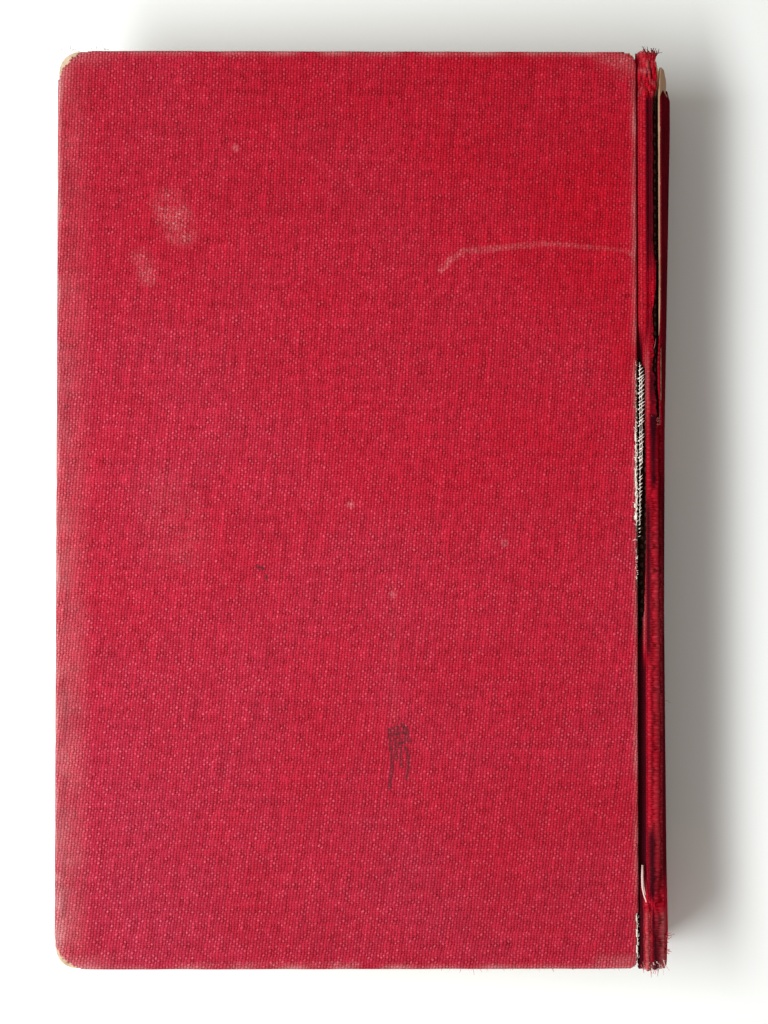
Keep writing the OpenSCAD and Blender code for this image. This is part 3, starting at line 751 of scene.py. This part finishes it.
endpaper = paper_material("endpaper", (0.78, 0.70, 0.55, 1), (0.66, 0.55, 0.38, 1), 2600.0)
dress(endpaper, "back_pastedown", "front_pastedown")
for side, node in ((1, "back_flyleaf"), (-1, "front_flyleaf")):
    across = np.concatenate([[page_fore_x, 0], np.linspace(shoulder_foot - 0.6, crest_x - 0.7, 16)])
    x, y = np.meshgrid(across, np.linspace(-page_half_h, page_half_h, 3))
    leaf_top = np.stack([x, y, mid_z + side * (leaf_level(np.ones(x.shape), x) - mid_z + 0.15)], -1)
    quads = grid_quads(*x.shape)[:, ::side]
    leaf_verts, leaf_faces, _ = thicken(leaf_top.reshape(-1, 3), quads, 0.12, [], True)
    flyleaf = make_object(f"{node}_sheet", leaf_verts, leaf_faces, endpaper)
    stand_in(flyleaf, "pages", node)

net_cotton, tree, feed = new_material("open_weave_backing")
place = put(tree, "ShaderNodeTexCoord", out=3)
net = vector_calc(tree, "SCALE", place, None, None, 1000.0)
threads = use(tree, weave, Cut=net, Warp_pitch=1.1, Weft_pitch=1.1)
# The backing is coloured near-black, painted shade for the hollow and groove it lies in; its threads are only
# a little lighter
backing_gap_shade, backing_thread_shade = (0.012, 0.004, 0.003, 1), (0.05, 0.025, 0.018, 1)
feed("Base Color", blend_colors(tree, spread(tree, threads["Height"], 0.5, 0.85), backing_gap_shade, backing_thread_shade))
feed("Roughness", 0.9)
feed("Specular IOR Level", 0.0)
feed("Normal", bump(tree, threads["Height"], 0.2 * MM))
dress(net_cotton, "back_mull_wing", "front_mull_wing")

linen, tree, feed = new_material("linen_thread")
place = put(tree, "ShaderNodeTexCoord", out=3)
drawn_out = put(tree, "ShaderNodeMapping", place, None, (0, 0, 0.7), (2200.0, 2200.0, 2200.0))
twist = put(tree, "ShaderNodeTexWave", drawn_out, 1.0, 0.5, out=1)
feed("Base Color", blend_colors(tree, twist, (0.55, 0.48, 0.36, 1), (0.82, 0.77, 0.65, 1)))
feed("Roughness", 0.8)
dress(linen, "sewing_thread")


# --- Spine cloth ---
# Red book cloth runs over both joints and round the spine card. The back joint is torn: above the slit
# the cloth over the joint has parted from the loose spine piece, whose head end is torn away.
mull_t, lining_t, hollow_w, card_t, film = 0.3, 0.12, 0.13, 0.55, 0.05
card_d = mull_t + lining_t + hollow_w + film
cloth_d = card_d + card_t + film
joint_d = mull_t + 2 * film
head, tail = cover_half_h, -cover_half_h
tear_end, tear_top, tear_foot, cloth_lost, bulge = 20.0, 37.0, -33.0, 9.5, 2.0
crest_angles = np.radians(np.arange(150, 25, -10))


def back_section():
    """The block's back in section, from the back cover's groove round to the front cover's."""
    half = [[hinge_x - 3.75, rise], [shoulder_foot, rise]]
    half += [[crest_x + crest_r * math.cos(a), crest_z + crest_r * math.sin(a)] for a in crest_angles]
    arc = np.linspace(1, -1, 61)[1:-1] * math.asin(crest_z / round_r)
    half = np.array(half)
    middle = np.stack([arc_x + round_r * np.cos(arc), round_r * np.sin(arc)], 1)
    return np.concatenate([half, middle, half[::-1] * [1, -1]]) + [0, mid_z]


section = back_section()
steps = np.diff(section, axis=0)
run_at = np.concatenate([[0], np.cumsum(np.linalg.norm(steps, axis=1))])
run_end = run_at[-1]
crest_run = run_at[len(crest_angles) + 1]
card_start = crest_run + 0.6
card_end = run_end - card_start


def section_layer(depth):
    """The section moved out by depth, with mitred corners: x and z for each place along its run."""
    unit = steps / np.linalg.norm(steps, axis=1, keepdims=True)
    side = np.stack([-unit[:, 1], unit[:, 0]], 1)
    before, after = np.concatenate([side[:1], side]), np.concatenate([side, side[-1:]])
    moved = section + depth * (before + after) / (1 + (before * after).sum(1, keepdims=True))
    return lambda run: (np.interp(run, run_at, moved[:, 0]), np.interp(run, run_at, moved[:, 1]))


def on_spine(run, y, depth):
    """A point of the spine's cloth: along its run, up the book, and out from the block's back."""
    torn_head = head - cloth_lost
    x, z = section_layer(depth)(run)
    spread_y = [tail, tail + 8, tail + 26, tail * 0.5, tail * 0.22, 0, tear_end, 47, 69, 94.6,
                torn_head, torn_head + 4, head]
    spread_x = [0.3, 0.7, 0.3, 0, -0.3, 0, 0.2, 0.45 * bulge, 0.7 * bulge, bulge, bulge, 0.4 * bulge, -0.2]
    bow = np.maximum(1 - ((z - mid_z) / crest_z) ** 2, 0) ** 1.4
    slack = np.interp(y, [tail, tail + 11, tail + 15, tear_end, 38, head - 13, head - 11, head],
                      [1, 0.8, 0, 0, 0.35, 0.5, 0.9, 1])
    lift = np.interp(run, [0, 0.45, crest_run * 0.3, crest_run * 0.5, crest_run * 0.8, crest_run],
                     [0, 0.6, 0.85, 0.8, 0.15, 0])
    crease = np.interp(y, [tail, tail + 12, tail + 16], [0.8, 0.4, 0])
    behind = np.interp(run, [crest_run, crest_run + 0.9, crest_run + 2], [0, 1, 0])
    return x + np.interp(y, spread_y, spread_x) * bow, z + slack * lift - crease * behind


# The torn strip beside the back board stands up as high as the board, in section from the hinge line:
# share of its width, and how far it lies towards the spine and above the hinge
strip_share = [0, 0.06, 0.18, 0.32, 0.46, 0.54, 0.62, 0.72, 0.86, 1]
strip_across = [-3.72, -3.68, -3.42, -2.98, -2.43, -2.08, -1.75, -1.40, -0.80, -0.1]
strip_up = [0.55, 1.4, 2.0, 2.55, 3.08, 3.36, 3.20, 2.80, 2.72, 2.74]
swing_r = 3.99
hinge_z = frame["joints"][0]["pos_m"][2] / MM


def bell(value, middle, width):
    return np.exp(-(((value - middle) / width) ** 2))


def ease(value, start, end):
    share = np.clip((value - start) / (end - start), 0, 1)
    return share * share * (3 - 2 * share)


def spine_sheet():
    """The torn spine cloth as one sheet, over the back joint, round the card and over the front joint."""
    joint_columns = np.linspace(0, crest_run, 34)
    card_columns = np.linspace(card_start - 0.1, card_end + 0.1, 46)
    front_columns = run_end - np.linspace(crest_run, 0, 14)
    columns = np.concatenate([joint_columns, card_columns, front_columns])
    strip_last, card_last = len(joint_columns) - 1, len(joint_columns) + len(card_columns) - 1
    heights = np.concatenate([np.linspace(tail, tear_end, 330), np.linspace(tear_end, head, 230)[1:]])
    run, y = np.meshgrid(columns, heights)
    on_strip = run <= crest_run + 1e-6
    share = np.clip(run / crest_run, 0, 1)
    tatters = 0.10 * hash_wave(y / 1.3, y / 5, 41) + 0.07 * hash_wave(y / 0.45, y / 3, 42)
    board_side = np.interp(y, [tear_foot, -25, -8, 16, 34, tear_top],
                           crest_run * np.array([0, 0.52, 0.70, 0.68, 0.6, 0]))
    board_side = np.maximum(board_side + tatters * (board_side > 0.05), 0)
    strip_side = np.interp(y, [tear_end - 8, tear_end, 28, 36, 40, 48, 54, 59, 61, 66, 100, 102, head],
                           crest_run * np.array([1, 0.98, 0.93, 0.91, 0.92, 0.95, 1.13, 1.16, 1.02,
                                                 0.99, 1.0, 1.26, 1.24]))
    strip_side = strip_side + 0.12 * hash_wave(y / 1.2, y / 4, 43) * (y > tear_end)
    run = np.where(on_strip, board_side + (strip_side - board_side) * share, run)
    torn_at = [card_start, card_start + 2, card_start + 5, run_end / 2, card_end - 4, card_end, run_end - 3]
    torn_to = head - cloth_lost + np.array([-1.2, 0.9, 0.9, 3.6, 5, 7.5, cloth_lost])
    ragged = 0.22 * hash_wave(columns / 1.1, columns / 5, 44) + 0.12 * hash_wave(columns / 0.4, columns, 49)
    torn = np.interp(columns, torn_at, torn_to) + ragged * (columns < card_end)
    rise_share = np.clip((y - tear_end) / (head - tear_end), 0, 1)
    y = np.where((y > tear_end) & ~on_strip, tear_end + rise_share * (torn[None, :] - tear_end), y)
    near = bell(columns, card_start, 0.5)[None, :] * ~on_strip
    run = run + near * 0.12 * hash_wave(y / 0.9, y / 4, 45) * (y > tear_end)
    lip = near * bell(y, 33, 10)
    column = np.broadcast_to(np.arange(len(columns)), y.shape)
    on_card = (column > strip_last) & (column <= card_last)
    depth = np.where(on_card, cloth_d, joint_d) + cloth_t
    x, z = np.zeros_like(y), np.zeros_like(y)
    for value in np.unique(depth):
        here = depth == value
        x[here], z[here] = on_spine(run[here], y[here], value)

    x, z = x - 0.9 * lip, z + 0.25 * lip
    tail_fold = 1 - ease(y, tail + 16, tail + 25)
    stands = np.maximum(ease(y, 37, 47), tail_fold) * on_strip
    level = strip_side / crest_run * share
    raised_x = hinge_x + np.interp(level, strip_share, strip_across) + (level > 1) * (level - 1) * 3
    raised_z = hinge_z + np.interp(level, strip_share, strip_up) - np.clip(level - 1, 0, 1) * 2
    x, z = x + stands * (raised_x - x), z + stands * (raised_z - z)
    z = z + 0.12 * hash_wave(y / 8, y / 31, 50) * bell(run, crest_run, 1.0) * (1 - stands)
    crumpled = ease(y, head - 12.5, head - 9.5) * on_strip * ease(share, 0.02, 0.2)
    creased = np.abs(hash_wave(y / 6, x / 2.6, 46)) + 0.35 * hash_wave(y / 2.2, x / 1.3, 51)
    z = z + crumpled * (0.25 - 0.9 * creased)
    z = z + tail_fold * ~on_strip * 1.4 * bell(x, hinge_x + 1.25, 0.75)
    z = z + tail_fold * 0.22 * hash_wave(y / 3.2, x / 1.1, 52) * ease(run, 0.1, 0.8) * (run < run_end / 3)
    at_end = 0.45 * hash_wave(run / 1.3, run / 5, 55) + 0.3 * hash_wave(run / 0.45, run, 56)
    y = y + at_end * (bell(y, tail, 1.2) + bell(y, head, 1.2) * on_strip)
    across, up = x - hinge_x, z - hinge_z
    too_far = np.where(up > 0, np.maximum(np.hypot(across, up) / swing_r, 1), 1)
    x, z = hinge_x + across / too_far, hinge_z + up / too_far

    verts = np.stack([x, y, z], -1).reshape(-1, 3)
    quads = grid_quads(*y.shape)
    row_at, column_at = np.divmod(quads[:, 0], y.shape[1])
    quads = quads[~((column_at == strip_last) & (heights[row_at] >= tear_end - 1e-6))]
    wear_and_highlight = bell(run, crest_run + 0.1, 0.8) * (1 - ease(y, -14, 10)) * (0.07 + 0.05 * hash_wave(y / 9, run, 48))
    wear_and_highlight = wear_and_highlight * (1 - tail_fold) + 0.04 * bell(level, 0.35, 0.16) * stands
    # Pale patches on the folds of the crumpled head cap: painted highlights
    wear_and_highlight = wear_and_highlight + 0.22 * crumpled * np.clip(hash_wave(y / 2.6, x / 1.5, 53), 0, 1)
    wear_and_highlight = wear_and_highlight + 0.25 * bell(y, head, 0.7) * on_strip + 0.6 * bell(y, tail, 0.8)
    # Painted shade on the standing strip: a little all over, more at its foot and on its far side, which
    # slopes away from the light, and in the creases of the crumpled cap
    far_slope_shade = ease(level, 0.49, 0.59) * (1 - bell(y, 52, 8)) * (1 - tail_fold)
    strip_painted_shade = 0.12 + (0.35 * (1 - ease(level, 0.08, 0.26)) + 0.72 * far_slope_shade) * (1 - crumpled)
    strip_painted_shade = stands * (strip_painted_shade + crumpled * (0.30 * np.clip(creased, 0, 1) - 0.10))
    # Painted shade: dark lines where the cloth folds into a V at the tail, into a pocket above it, into
    # valleys beside the ridge, and along the groove at the tail
    v_width = 0.35 + 0.035 * np.clip(-96 - y, 0, 14)
    v_fold_shade = bell(x, hinge_x - 0.6 - (y + 96) * 0.035, v_width) * ease(-y, 95, 98)
    pocket_shade = bell(x, hinge_x - 0.75, 0.95) * (ease(-y, 74, 80) - ease(-y, 93, 96))
    valley_shade = 0.97 * bell(x, hinge_x - 1.2, 0.5) * (ease(-y, -8, 2) - ease(-y, 33, 40))
    valley_shade = valley_shade + 0.95 * bell(x, hinge_x - 0.25, 0.75) * (ease(y, 3, 7) - ease(y, 21, 24))
    valley_shade = valley_shade + 0.95 * (1 - ease(x, hinge_x - 2.9, hinge_x - 2.4)) * tail_fold
    valley_shade = valley_shade + 0.93 * ease(x, hinge_x - 1.15, hinge_x - 0.75) * bell(y, 30, 9) * on_strip
    valley_shade = valley_shade + 0.5 * bell(x, hinge_x - 0.6, 0.35) * (ease(-y, 34, 44) - ease(-y, 66, 74))
    # Painted highlights: pale streaks along the ridge, on the head cap and on both folds at the tail
    wear_and_highlight = wear_and_highlight + 0.34 * bell(x, hinge_x - 2.1, 0.35) * (ease(-y, -10, 0) - ease(-y, 30, 36))
    wear_and_highlight = wear_and_highlight + 0.30 * bell(x, hinge_x - 1.5, 0.45) * bell(y, 30, 8)
    wear_and_highlight = wear_and_highlight + 0.35 * bell(x, hinge_x - 1.3, 0.5) * bell(y, 107, 2)
    wear_and_highlight = wear_and_highlight + 0.30 * bell(x, hinge_x - 1.95, 0.55) * ease(-y, 96, 99)
    wear_and_highlight = wear_and_highlight + 0.48 * bell(x, hinge_x + 1.4, 1.0) * ease(-y, 96, 99)
    # Painted shade in the groove beside the board, lighter where the flank rises to the light
    below_tear = ease(-y, 33, 40)
    lit = ease(x, hinge_x - 2.0, hinge_x - 1.5) * below_tear
    lit = lit + ease(x, hinge_x - 2.6, hinge_x - 2.2) * (1 - below_tear)
    groove_shade = on_strip * (1 - stands) * (0.93 - 0.73 * lit)
    # Painted shade on the loose spine piece: darkest past the ridge, where it turns from the light, and
    # lifted off the fold at the tail
    beyond_ridge = ease(x, hinge_x - 0.1, hinge_x + 0.9)
    loose = 0.24 + (0.36 + 0.20 * ease(-y, -20, 0)) * beyond_ridge + 0.08 * hash_wave(y / 14, run / 5, 54)
    loose = loose * (1 - 0.97 * tail_fold * ease(x, hinge_x - 0.1, hinge_x + 0.4))
    loose = (loose + 0.18 * ease(y, 15, 40) - 0.35 * lip) * ~on_strip
    hollow_shade = 0.97 * np.maximum(np.maximum(v_fold_shade, pocket_shade), valley_shade)
    dirt_and_shade = np.clip(np.maximum(strip_painted_shade + groove_shade + loose, hollow_shade), 0, 0.97)
    cut = np.stack([run, y, 0 * y], -1).reshape(-1, 3)
    attributes = [("cut", cut), ("wear_and_highlight", np.clip(wear_and_highlight, 0, 1).reshape(-1)), ("dirt_and_shade", dirt_and_shade.reshape(-1))]
    return thicken(verts, quads[:, ::-1], cloth_t * 0.95, attributes, True)


spine_red = cloth_material("spine_cloth", 0.0, 0.25, False)
verts, faces, extra = spine_sheet()
spine = make_object("spine_cloth_sheet", verts, faces, spine_red, extra)
stand_in(spine, "pages", "spine_cloth")


# --- Backing, lining and spine card ---
# Open-weave backing is glued to the back and over both shoulders, with kraft paper on it. Past the
# hollow, thin card stiffens the spine cloth. Its back edge shows as a pale line inside the slit, and its
# head end and the lining's are torn into narrow tongues beside the crumpled cap.
def back_sheet(columns, low_end, top, depth, thickness, rows=240, curl=0.0):
    """A sheet over the block's back, from low_end up to top, which is a height for each column."""
    run, share = np.meshgrid(columns, np.linspace(0, 1, rows))
    y = low_end + share * (top[None, :] - low_end)
    run = run + bell(run, columns[0], 0.3) * 0.06 * hash_wave(y / 1.3, y / 7, 62)
    x, z = on_spine(run, y, depth + thickness) if curl else section_layer(depth + thickness)(run)
    curled = curl * ease(y, head - 11, head - 5) * (run < columns[0] + 6) * (run - columns[0])
    x, z = x + curled * 1.2, z + curled
    quads = grid_quads(*y.shape)[:, [0, 3, 2, 1]]
    return thicken(np.stack([x, y, z], -1).reshape(-1, 3), quads, thickness * 0.95, [], True)


def back_layer(name, node, material, sheet):
    verts, faces, _ = sheet
    stand_in(make_object(name, verts, faces, material), "pages", node)


mull_low, mull_high = (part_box("mull")[k][1] / MM for k in (0, 1))
mull_columns = np.unique(np.concatenate([run_at, np.linspace(0, run_end, 60)]))
flat_top = np.full(len(mull_columns), mull_high)
backing = back_sheet(mull_columns, mull_low, flat_top, 0.02, mull_t, 30)
back_layer("backing", "mull", net_cotton, backing)

kraft = paper_material("kraft_lining", (0.030, 0.009, 0.006, 1), (0.016, 0.004, 0.003, 1), 1800.0)
# The lining is coloured near-black, painted shade for the hollow behind the torn joint, and its torn head end
# shows the tan of the paper
tree = kraft.node_tree
up_the_book = put(tree, "ShaderNodeSeparateXYZ", put(tree, "ShaderNodeTexCoord", out=3), out=1)
kraft_tone = tree.nodes["Principled BSDF"].inputs["Base Color"].links[0].from_socket
torn_end = blend_colors(tree, spread(tree, up_the_book, 0.100, 0.103), kraft_tone, (0.52, 0.38, 0.22, 1))
tree.links.new(torn_end, tree.nodes["Principled BSDF"].inputs["Base Color"])
tree.nodes["Principled BSDF"].inputs["Specular IOR Level"].default_value = 0.0
lining_low, lining_high = (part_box("back_lining")[k][1] / MM for k in (0, 1))
lining_columns = np.linspace(card_start - 0.3, card_end + 0.3, 60)
lining_at = card_start + np.array([-0.3, 0.1, 0.9, 1.8, 3])
lining_top = np.interp(lining_columns, lining_at, lining_high + np.array([-1, 1.0, 1.9, 0.6, 0]))
back_layer("kraft_lining", "back_lining", kraft,
           back_sheet(lining_columns, lining_low, lining_top, mull_t + 0.03, lining_t, 60, 0.05))

card_stock = paper_material("spine_card", (0.52, 0.36, 0.22, 1), (0.26, 0.10, 0.07, 1), 1500.0)
card_columns = np.concatenate([np.linspace(card_start, card_start + 4, 28),
                               np.linspace(card_start + 4, card_end, 46)[1:]])
card_at = card_start + np.array([0, 0.25, 0.8, 2.0, 3.0, 4.0, 9.0])
card_top = np.interp(card_columns, card_at, head + np.array([-9, -5, -3.4, -3.8, -6, -9, -9.5]))
card_top = card_top + 0.15 * hash_wave(card_columns / 0.8, card_columns / 3, 61)
back_layer("torn_spine_card", "spine_card", card_stock,
           back_sheet(card_columns, tail + 1.5, card_top, card_d, card_t, 240, 0.24))


# --- Cloth and paper across the joints ---
# The cover cloth and each endpaper run on across the joint in one piece. These narrow ribbons join the
# part that stays with the pages to the part that swings.
def joint_ribbon(name, cover, across, up, y_from, y_to, material, thickness):
    """across and up are places from the hinge line: at the pages, then at the cover."""
    columns, rows = 16, max(int((y_to - y_from) / 3), 2)
    at, y = np.meshgrid(np.linspace(0, 1, columns), np.linspace(y_from, y_to, rows))
    x = hinge_x + across[0] + (across[1] - across[0]) * at
    z = hinge_z + up[0] + (up[1] - up[0]) * at
    verts = np.stack([x, y, z], -1).reshape(-1, 3)
    quads = grid_quads(rows, columns)[:, [0, 3, 2, 1]]
    if cover == "front_cover":
        verts[:, 2] = book_t - verts[:, 2]
        quads = quads[:, ::-1]
    cut = np.stack([at * 12, y, 0 * y], -1).reshape(-1, 3)
    plain = np.zeros(len(verts))
    values = [("cut", cut), ("wear_and_highlight", plain), ("dirt_and_shade", plain)]
    verts, faces, extra = thicken(verts, quads, thickness, values, True)
    ribbon = make_object(name, verts, faces, material, extra)
    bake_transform(ribbon)


cloth_across, cloth_up = (-3.78, -4.12), (0.60, 0.60)
paper_across, paper_up = (-3.85, -4.5), (0.06, 0.10)
beside_tear = ((tail + 1, tear_foot), (tear_top + 1, head - 1))
for cover, stretches in (("back_cover", beside_tear), ("front_cover", ((tail + 1, head - 1),))):
    for k, (y_from, y_to) in enumerate(stretches):
        joint_ribbon(f"joint_cloth_{cover}_{k}", cover, cloth_across, cloth_up, y_from, y_to,
                     spine_red, 0.3)
    joint_ribbon(f"joint_paper_{cover}", cover, paper_across, paper_up, -page_half_h, page_half_h,
                 endpaper, 0.12)


# --- Frayed threads ---
# Threads and paper fibres that stand out of the torn and rubbed edges: white cotton of the backing and
# pale board pulp along the tear, crimson and pink ends of the cover cloth elsewhere.
fray, tree, feed = new_material("frayed_threads")
tint = put(tree, "ShaderNodeAttribute", attribute_name="tint", out=2)
dyed_end = blend_colors(tree, spread(tree, tint, 0.0, 0.3), (0.10, 0.002, 0.006, 1), (0.55, 0.008, 0.025, 1))
feed("Base Color", blend_colors(tree, spread(tree, tint, 0.3, 1.0), dyed_end, (0.95, 0.91, 0.86, 1)))
feed("Roughness", 0.9)
feed("Specular IOR Level", 0.1)


def tubes(paths, radii, tints):
    """Fine three-sided tubes along paths of equal length, which taper to their ends."""
    paths = np.asarray(paths, float)
    count, stations = paths.shape[:2]
    along = np.gradient(paths, axis=1)
    along /= np.maximum(np.linalg.norm(along, axis=2, keepdims=True), 1e-9)
    side = np.cross(along, [0.31, 0.17, 0.93])
    side /= np.maximum(np.linalg.norm(side, axis=2, keepdims=True), 1e-9)
    other = np.cross(along, side)
    taper = np.asarray(radii)[:, None, None] * (1 - 0.6 * np.linspace(0, 1, stations) ** 2)[None, :, None]
    angles = (0, math.tau / 3, 2 * math.tau / 3)
    rings = [paths + taper * (side * math.cos(a) + other * math.sin(a)) for a in angles]
    verts = np.stack(rings, 2).reshape(-1, 3)
    base = (np.arange(count) * stations * 3)[:, None] + (np.arange(stations - 1) * 3)[None, :]
    faces = []
    for k in range(3):
        following = (k + 1) % 3
        sides = np.stack([base + k, base + following, base + following + 3, base + k + 3], -1)
        faces += sides.reshape(-1, 4).tolist()
    first = np.arange(count) * stations * 3
    faces += [[f + 2, f + 1, f] for f in first] + [[f, f + 1, f + 2] for f in first + (stations - 1) * 3]
    return verts, faces, [("tint", np.repeat(tints, stations * 3))]


def frays(seed, count, corner_a, corner_b, z, towards, length, tint_range, thickness=0.07,
          furthest_x=100.0):
    """Curled threads rooted between two places in the photograph, at height z, all near one direction."""
    rng = np.random.default_rng(seed)
    a, b = np.array(from_photo(*corner_a)), np.array(from_photo(*corner_b))
    paths, tints = [], []
    at = np.linspace(0, 1, 6)[:, None]
    for _ in range(count):
        root = a + (b - a) * [rng.uniform(), rng.uniform(), 0] + [0, 0, z + rng.uniform(-0.1, 0.1)]
        way = np.array(towards) + rng.normal(0, 0.4, 3)
        curl = rng.normal(0, 0.35, 3)
        path = root + (way * at + curl * at**2) * length * rng.uniform(0.4, 1.1)
        paths.append(np.minimum(path, [furthest_x, math.inf, math.inf]))
        tints.append(rng.uniform(*tint_range))
    return paths, [thickness * rng.uniform(0.6, 1.2) for _ in paths], tints


def threads_piece(name, body, slot, *bunches):
    """One object of several bunches of threads."""
    paths, radii, tints = [], [], []
    for bunch in bunches:
        for total, part in zip((paths, radii, tints), bunch):
            total.extend(part)
    verts, faces, extra = tubes(paths, radii, tints)
    piece = make_object(name, verts, faces, fray, extra)
    if body:
        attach(piece, body)
    return piece


def drawn_thread(points_px, heights, radius, tint):
    """One thread through places in the photograph, each at its height."""
    places = np.array([np.array(from_photo(*p)) + [0, 0, z] for p, z in zip(points_px, heights)])
    at, fine = np.linspace(0, 1, len(places)), np.linspace(0, 1, 6)
    return [np.stack([np.interp(fine, at, places[:, k]) for k in range(3)], 1)], [radius], [tint]


net_foot, net_up = -3.62, 2.78


def net_threads():
    """The backing's own threads that still hold the torn joint: slanted ones, and two rows along it."""
    rng = np.random.default_rng(71)
    paths, radii, tints = [], [], []
    at = np.linspace(0, 1, 6)
    for k, y in enumerate(np.arange(-7.0, 35.0, 0.96) + rng.normal(0, 0.13, 44)):
        if rng.uniform() < 0.07:
            continue
        reach = np.interp(y, [-7, 0, 8, 16, 24, 32, 35], [0.35, 0.6, 0.85, 1.15, 1.45, 1.3, 0.4])
        reach = reach * rng.uniform(0.8, 1.05)
        first = net_foot - (0.35 if k % 4 == 0 else rng.uniform(0, 0.12))
        x = hinge_x + first + (reach + net_foot - first) * at
        z = hinge_z + net_up + 0.14 * np.sin(at * math.pi) + rng.uniform(-0.1, 0.1)
        z = z - np.interp(y, [-7, 6], [0.8, 0])
        paths.append(np.stack([x, y + rng.normal(1.0, 0.15) * at * reach, z], 1))
        radii.append(rng.uniform(0.13, 0.25))
        tints.append(rng.uniform(0.9, 1.0))
    for across, first_y, last_y in ((0.12, -4, 33), (0.62, 11, 30)):
        for start in np.arange(first_y, last_y, 3.0):
            y = start + at * 3.3
            x = hinge_x + net_foot + across + 0.06 * np.sin(y * 3)
            z = hinge_z + net_up + 0.1 + 0.08 * np.cos(y * 5) - np.interp(y, [-7, 6], [0.8, 0])
            paths.append(np.stack([x, y, z], 1))
            radii.append(rng.uniform(0.08, 0.13))
            tints.append(rng.uniform(0.9, 1.0))
    return paths, radii, tints


torn_pulp = paper_material("torn_pulp", (0.90, 0.86, 0.80, 1), (0.80, 0.70, 0.58, 1), 3000.0)


def torn_board_edge():
    """Board pulp that stands out ragged along the torn joint."""
    at, y = np.meshgrid([0.0, 0.5, 1.0], np.arange(-109.6, torn_high, 0.16))
    stretch = np.interp(y, [-109.6, -108, -104, -99, -98, -18, -16.6, -16, -14.5, -10.2, -9.6, -4.6, -4,
                            6, 8.6, 9.6, 19.5, 22, 35, 36],
                        [0, 0.4, 0.6, 0.3, 0, 0, 0.6, 0.1, 0, 0.5, 0, 0.1, 0.8,
                         0.9, 0.35, 0.55, 0.5, 0.12, 0.25, 0.1])
    edge = stretch * (0.8 + 0.35 * hash_wave(y / 0.9, y / 3, 63) + 0.25 * hash_wave(y / 0.35, y, 64))
    x = hinge_x - 5.2 + at * (0.5 + 0.58 * np.clip(edge, 0, 1.0))
    z = book_t - 0.40 + 0.34 * at + 0.05 * hash_wave(y / 0.5, x, 65)
    quads = grid_quads(*y.shape)[(stretch[:-1, :-1] > 0.05).reshape(-1)]
    verts, faces, _ = thicken(np.stack([x, y, z], -1).reshape(-1, 3), quads, 0.25, [], True)
    edge_piece = make_object("torn_board_edge", verts, faces, torn_pulp)
    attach(edge_piece, "back_cover")


torn_board_edge()
net_piece = threads_piece("backing_threads", None, "mull", net_threads())
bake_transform(net_piece)

# Bunches of threads: seed, number, two places in pixels, height, way, length, tints, thickness, furthest x.
# Single threads: their places in pixels, heights, radius and tint.
top_z, board_edge = book_t, hinge_x - 4.15
spine_bunches_px = [
    (72, 34, (643, 53), (657, 57), top_z - 0.9, (0.05, 0.8, 0.3), 1.8, (0.0, 0.04), 0.15),
    (73, 18, (646, 90), (656, 94), top_z - 1.2, (0.1, -0.6, 0.2), 1.0, (0.0, 0.9)),
    (74, 18, (659, 94), (669, 98), top_z - 6.5, (0.1, 0.6, 0.2), 0.9, (0.0, 0.5)),
    (75, 24, (654, 421), (658, 430), top_z - 0.8, (0.2, 0.6, 0.4), 1.1, (0.2, 0.4), 0.09),
    (76, 90, (639, 958), (662, 968), top_z - 0.7, (0.1, -0.7, 0.2), 1.5, (0.1, 1.0), 0.10),
    (77, 40, (660, 934), (664, 954), top_z - 2.0, (0.9, -0.1, 0.1), 1.7, (0.1, 0.4), 0.11),
]
spine_threads_px = [
    ([(662, 948), (661, 958), (661, 965), (664, 978)], (30.5, 30.4, 30.2, 28.0), 0.08, 0.8),
    ([(641, 866), (640, 885), (642.5, 898), (647, 908)], (31.4, 31.9, 32.1, 32.1), 0.27, 0.72),
    ([(641.5, 871), (641.3, 884), (644, 899), (645, 906)], (31.3, 31.8, 32.0, 32.0), 0.16, 0.9),
    ([(656, 341), (655, 348), (652, 355), (651, 360)], (31.2, 31.4, 31.5, 31.3), 0.07, 0.45),
    ([(648, 481), (651, 484), (655, 484)], (31.2, 31.6, 31.2), 0.07, 0.35),
    ([(653, 264), (656, 263), (659, 264)], (31.3, 31.5, 31.2), 0.07, 0.10),
    ([(661, 704), (667, 703), (671, 706)], (30.0, 29.8, 29.0), 0.05, 0.05),
]
cover_bunches_px = [
    (81, 90, (634.4, 430), (636.4, 528), top_z + 0.05, (0.05, 0.5, 0.02), 1.1, (0.9, 1.0), 0.09, board_edge),
    (87, 18, (635.2, 552), (636.6, 582), top_z + 0.05, (0.05, 0.5, 0.02), 1.0, (0.9, 1.0), 0.09, board_edge),
    (82, 20, (635.0, 362), (636.6, 430), top_z + 0.02, (0.1, 0.5, 0.05), 0.9, (0.7, 1.0), 0.07, board_edge),
    (83, 46, (440, 967.5), (636, 968.5), top_z - 0.6, (0.2, -0.5, 0.1), 0.9, (0.0, 0.9), 0.05),
    (84, 14, (58, 56), (110, 50.5), top_z - 0.5, (-0.2, 0.6, 0.1), 0.7, (0.0, 0.1), 0.05),
    (85, 14, (56, 954), (66, 967), top_z - 0.6, (-0.5, -0.5, 0.1), 0.7, (0.2, 1.0), 0.05),
    (86, 30, (635, 915), (637, 966), top_z, (0.1, 0.5, 0.05), 0.8, (0.8, 1.0), 0.06, board_edge),
]
cover_threads_px = [
    ([(632, 543), (634, 542), (636.6, 543)], (32.1, 32.3, 32.1), 0.10, 0.9),
]
for name, body, bunches, singles in (
    ("spine_frays", "pages", spine_bunches_px, spine_threads_px),
    ("cover_frays", "back_cover", cover_bunches_px, cover_threads_px),
):
    parts = [frays(*bunch) for bunch in bunches] + [drawn_thread(*thread) for thread in singles]
    threads_piece(name, body, "cloth", *parts)
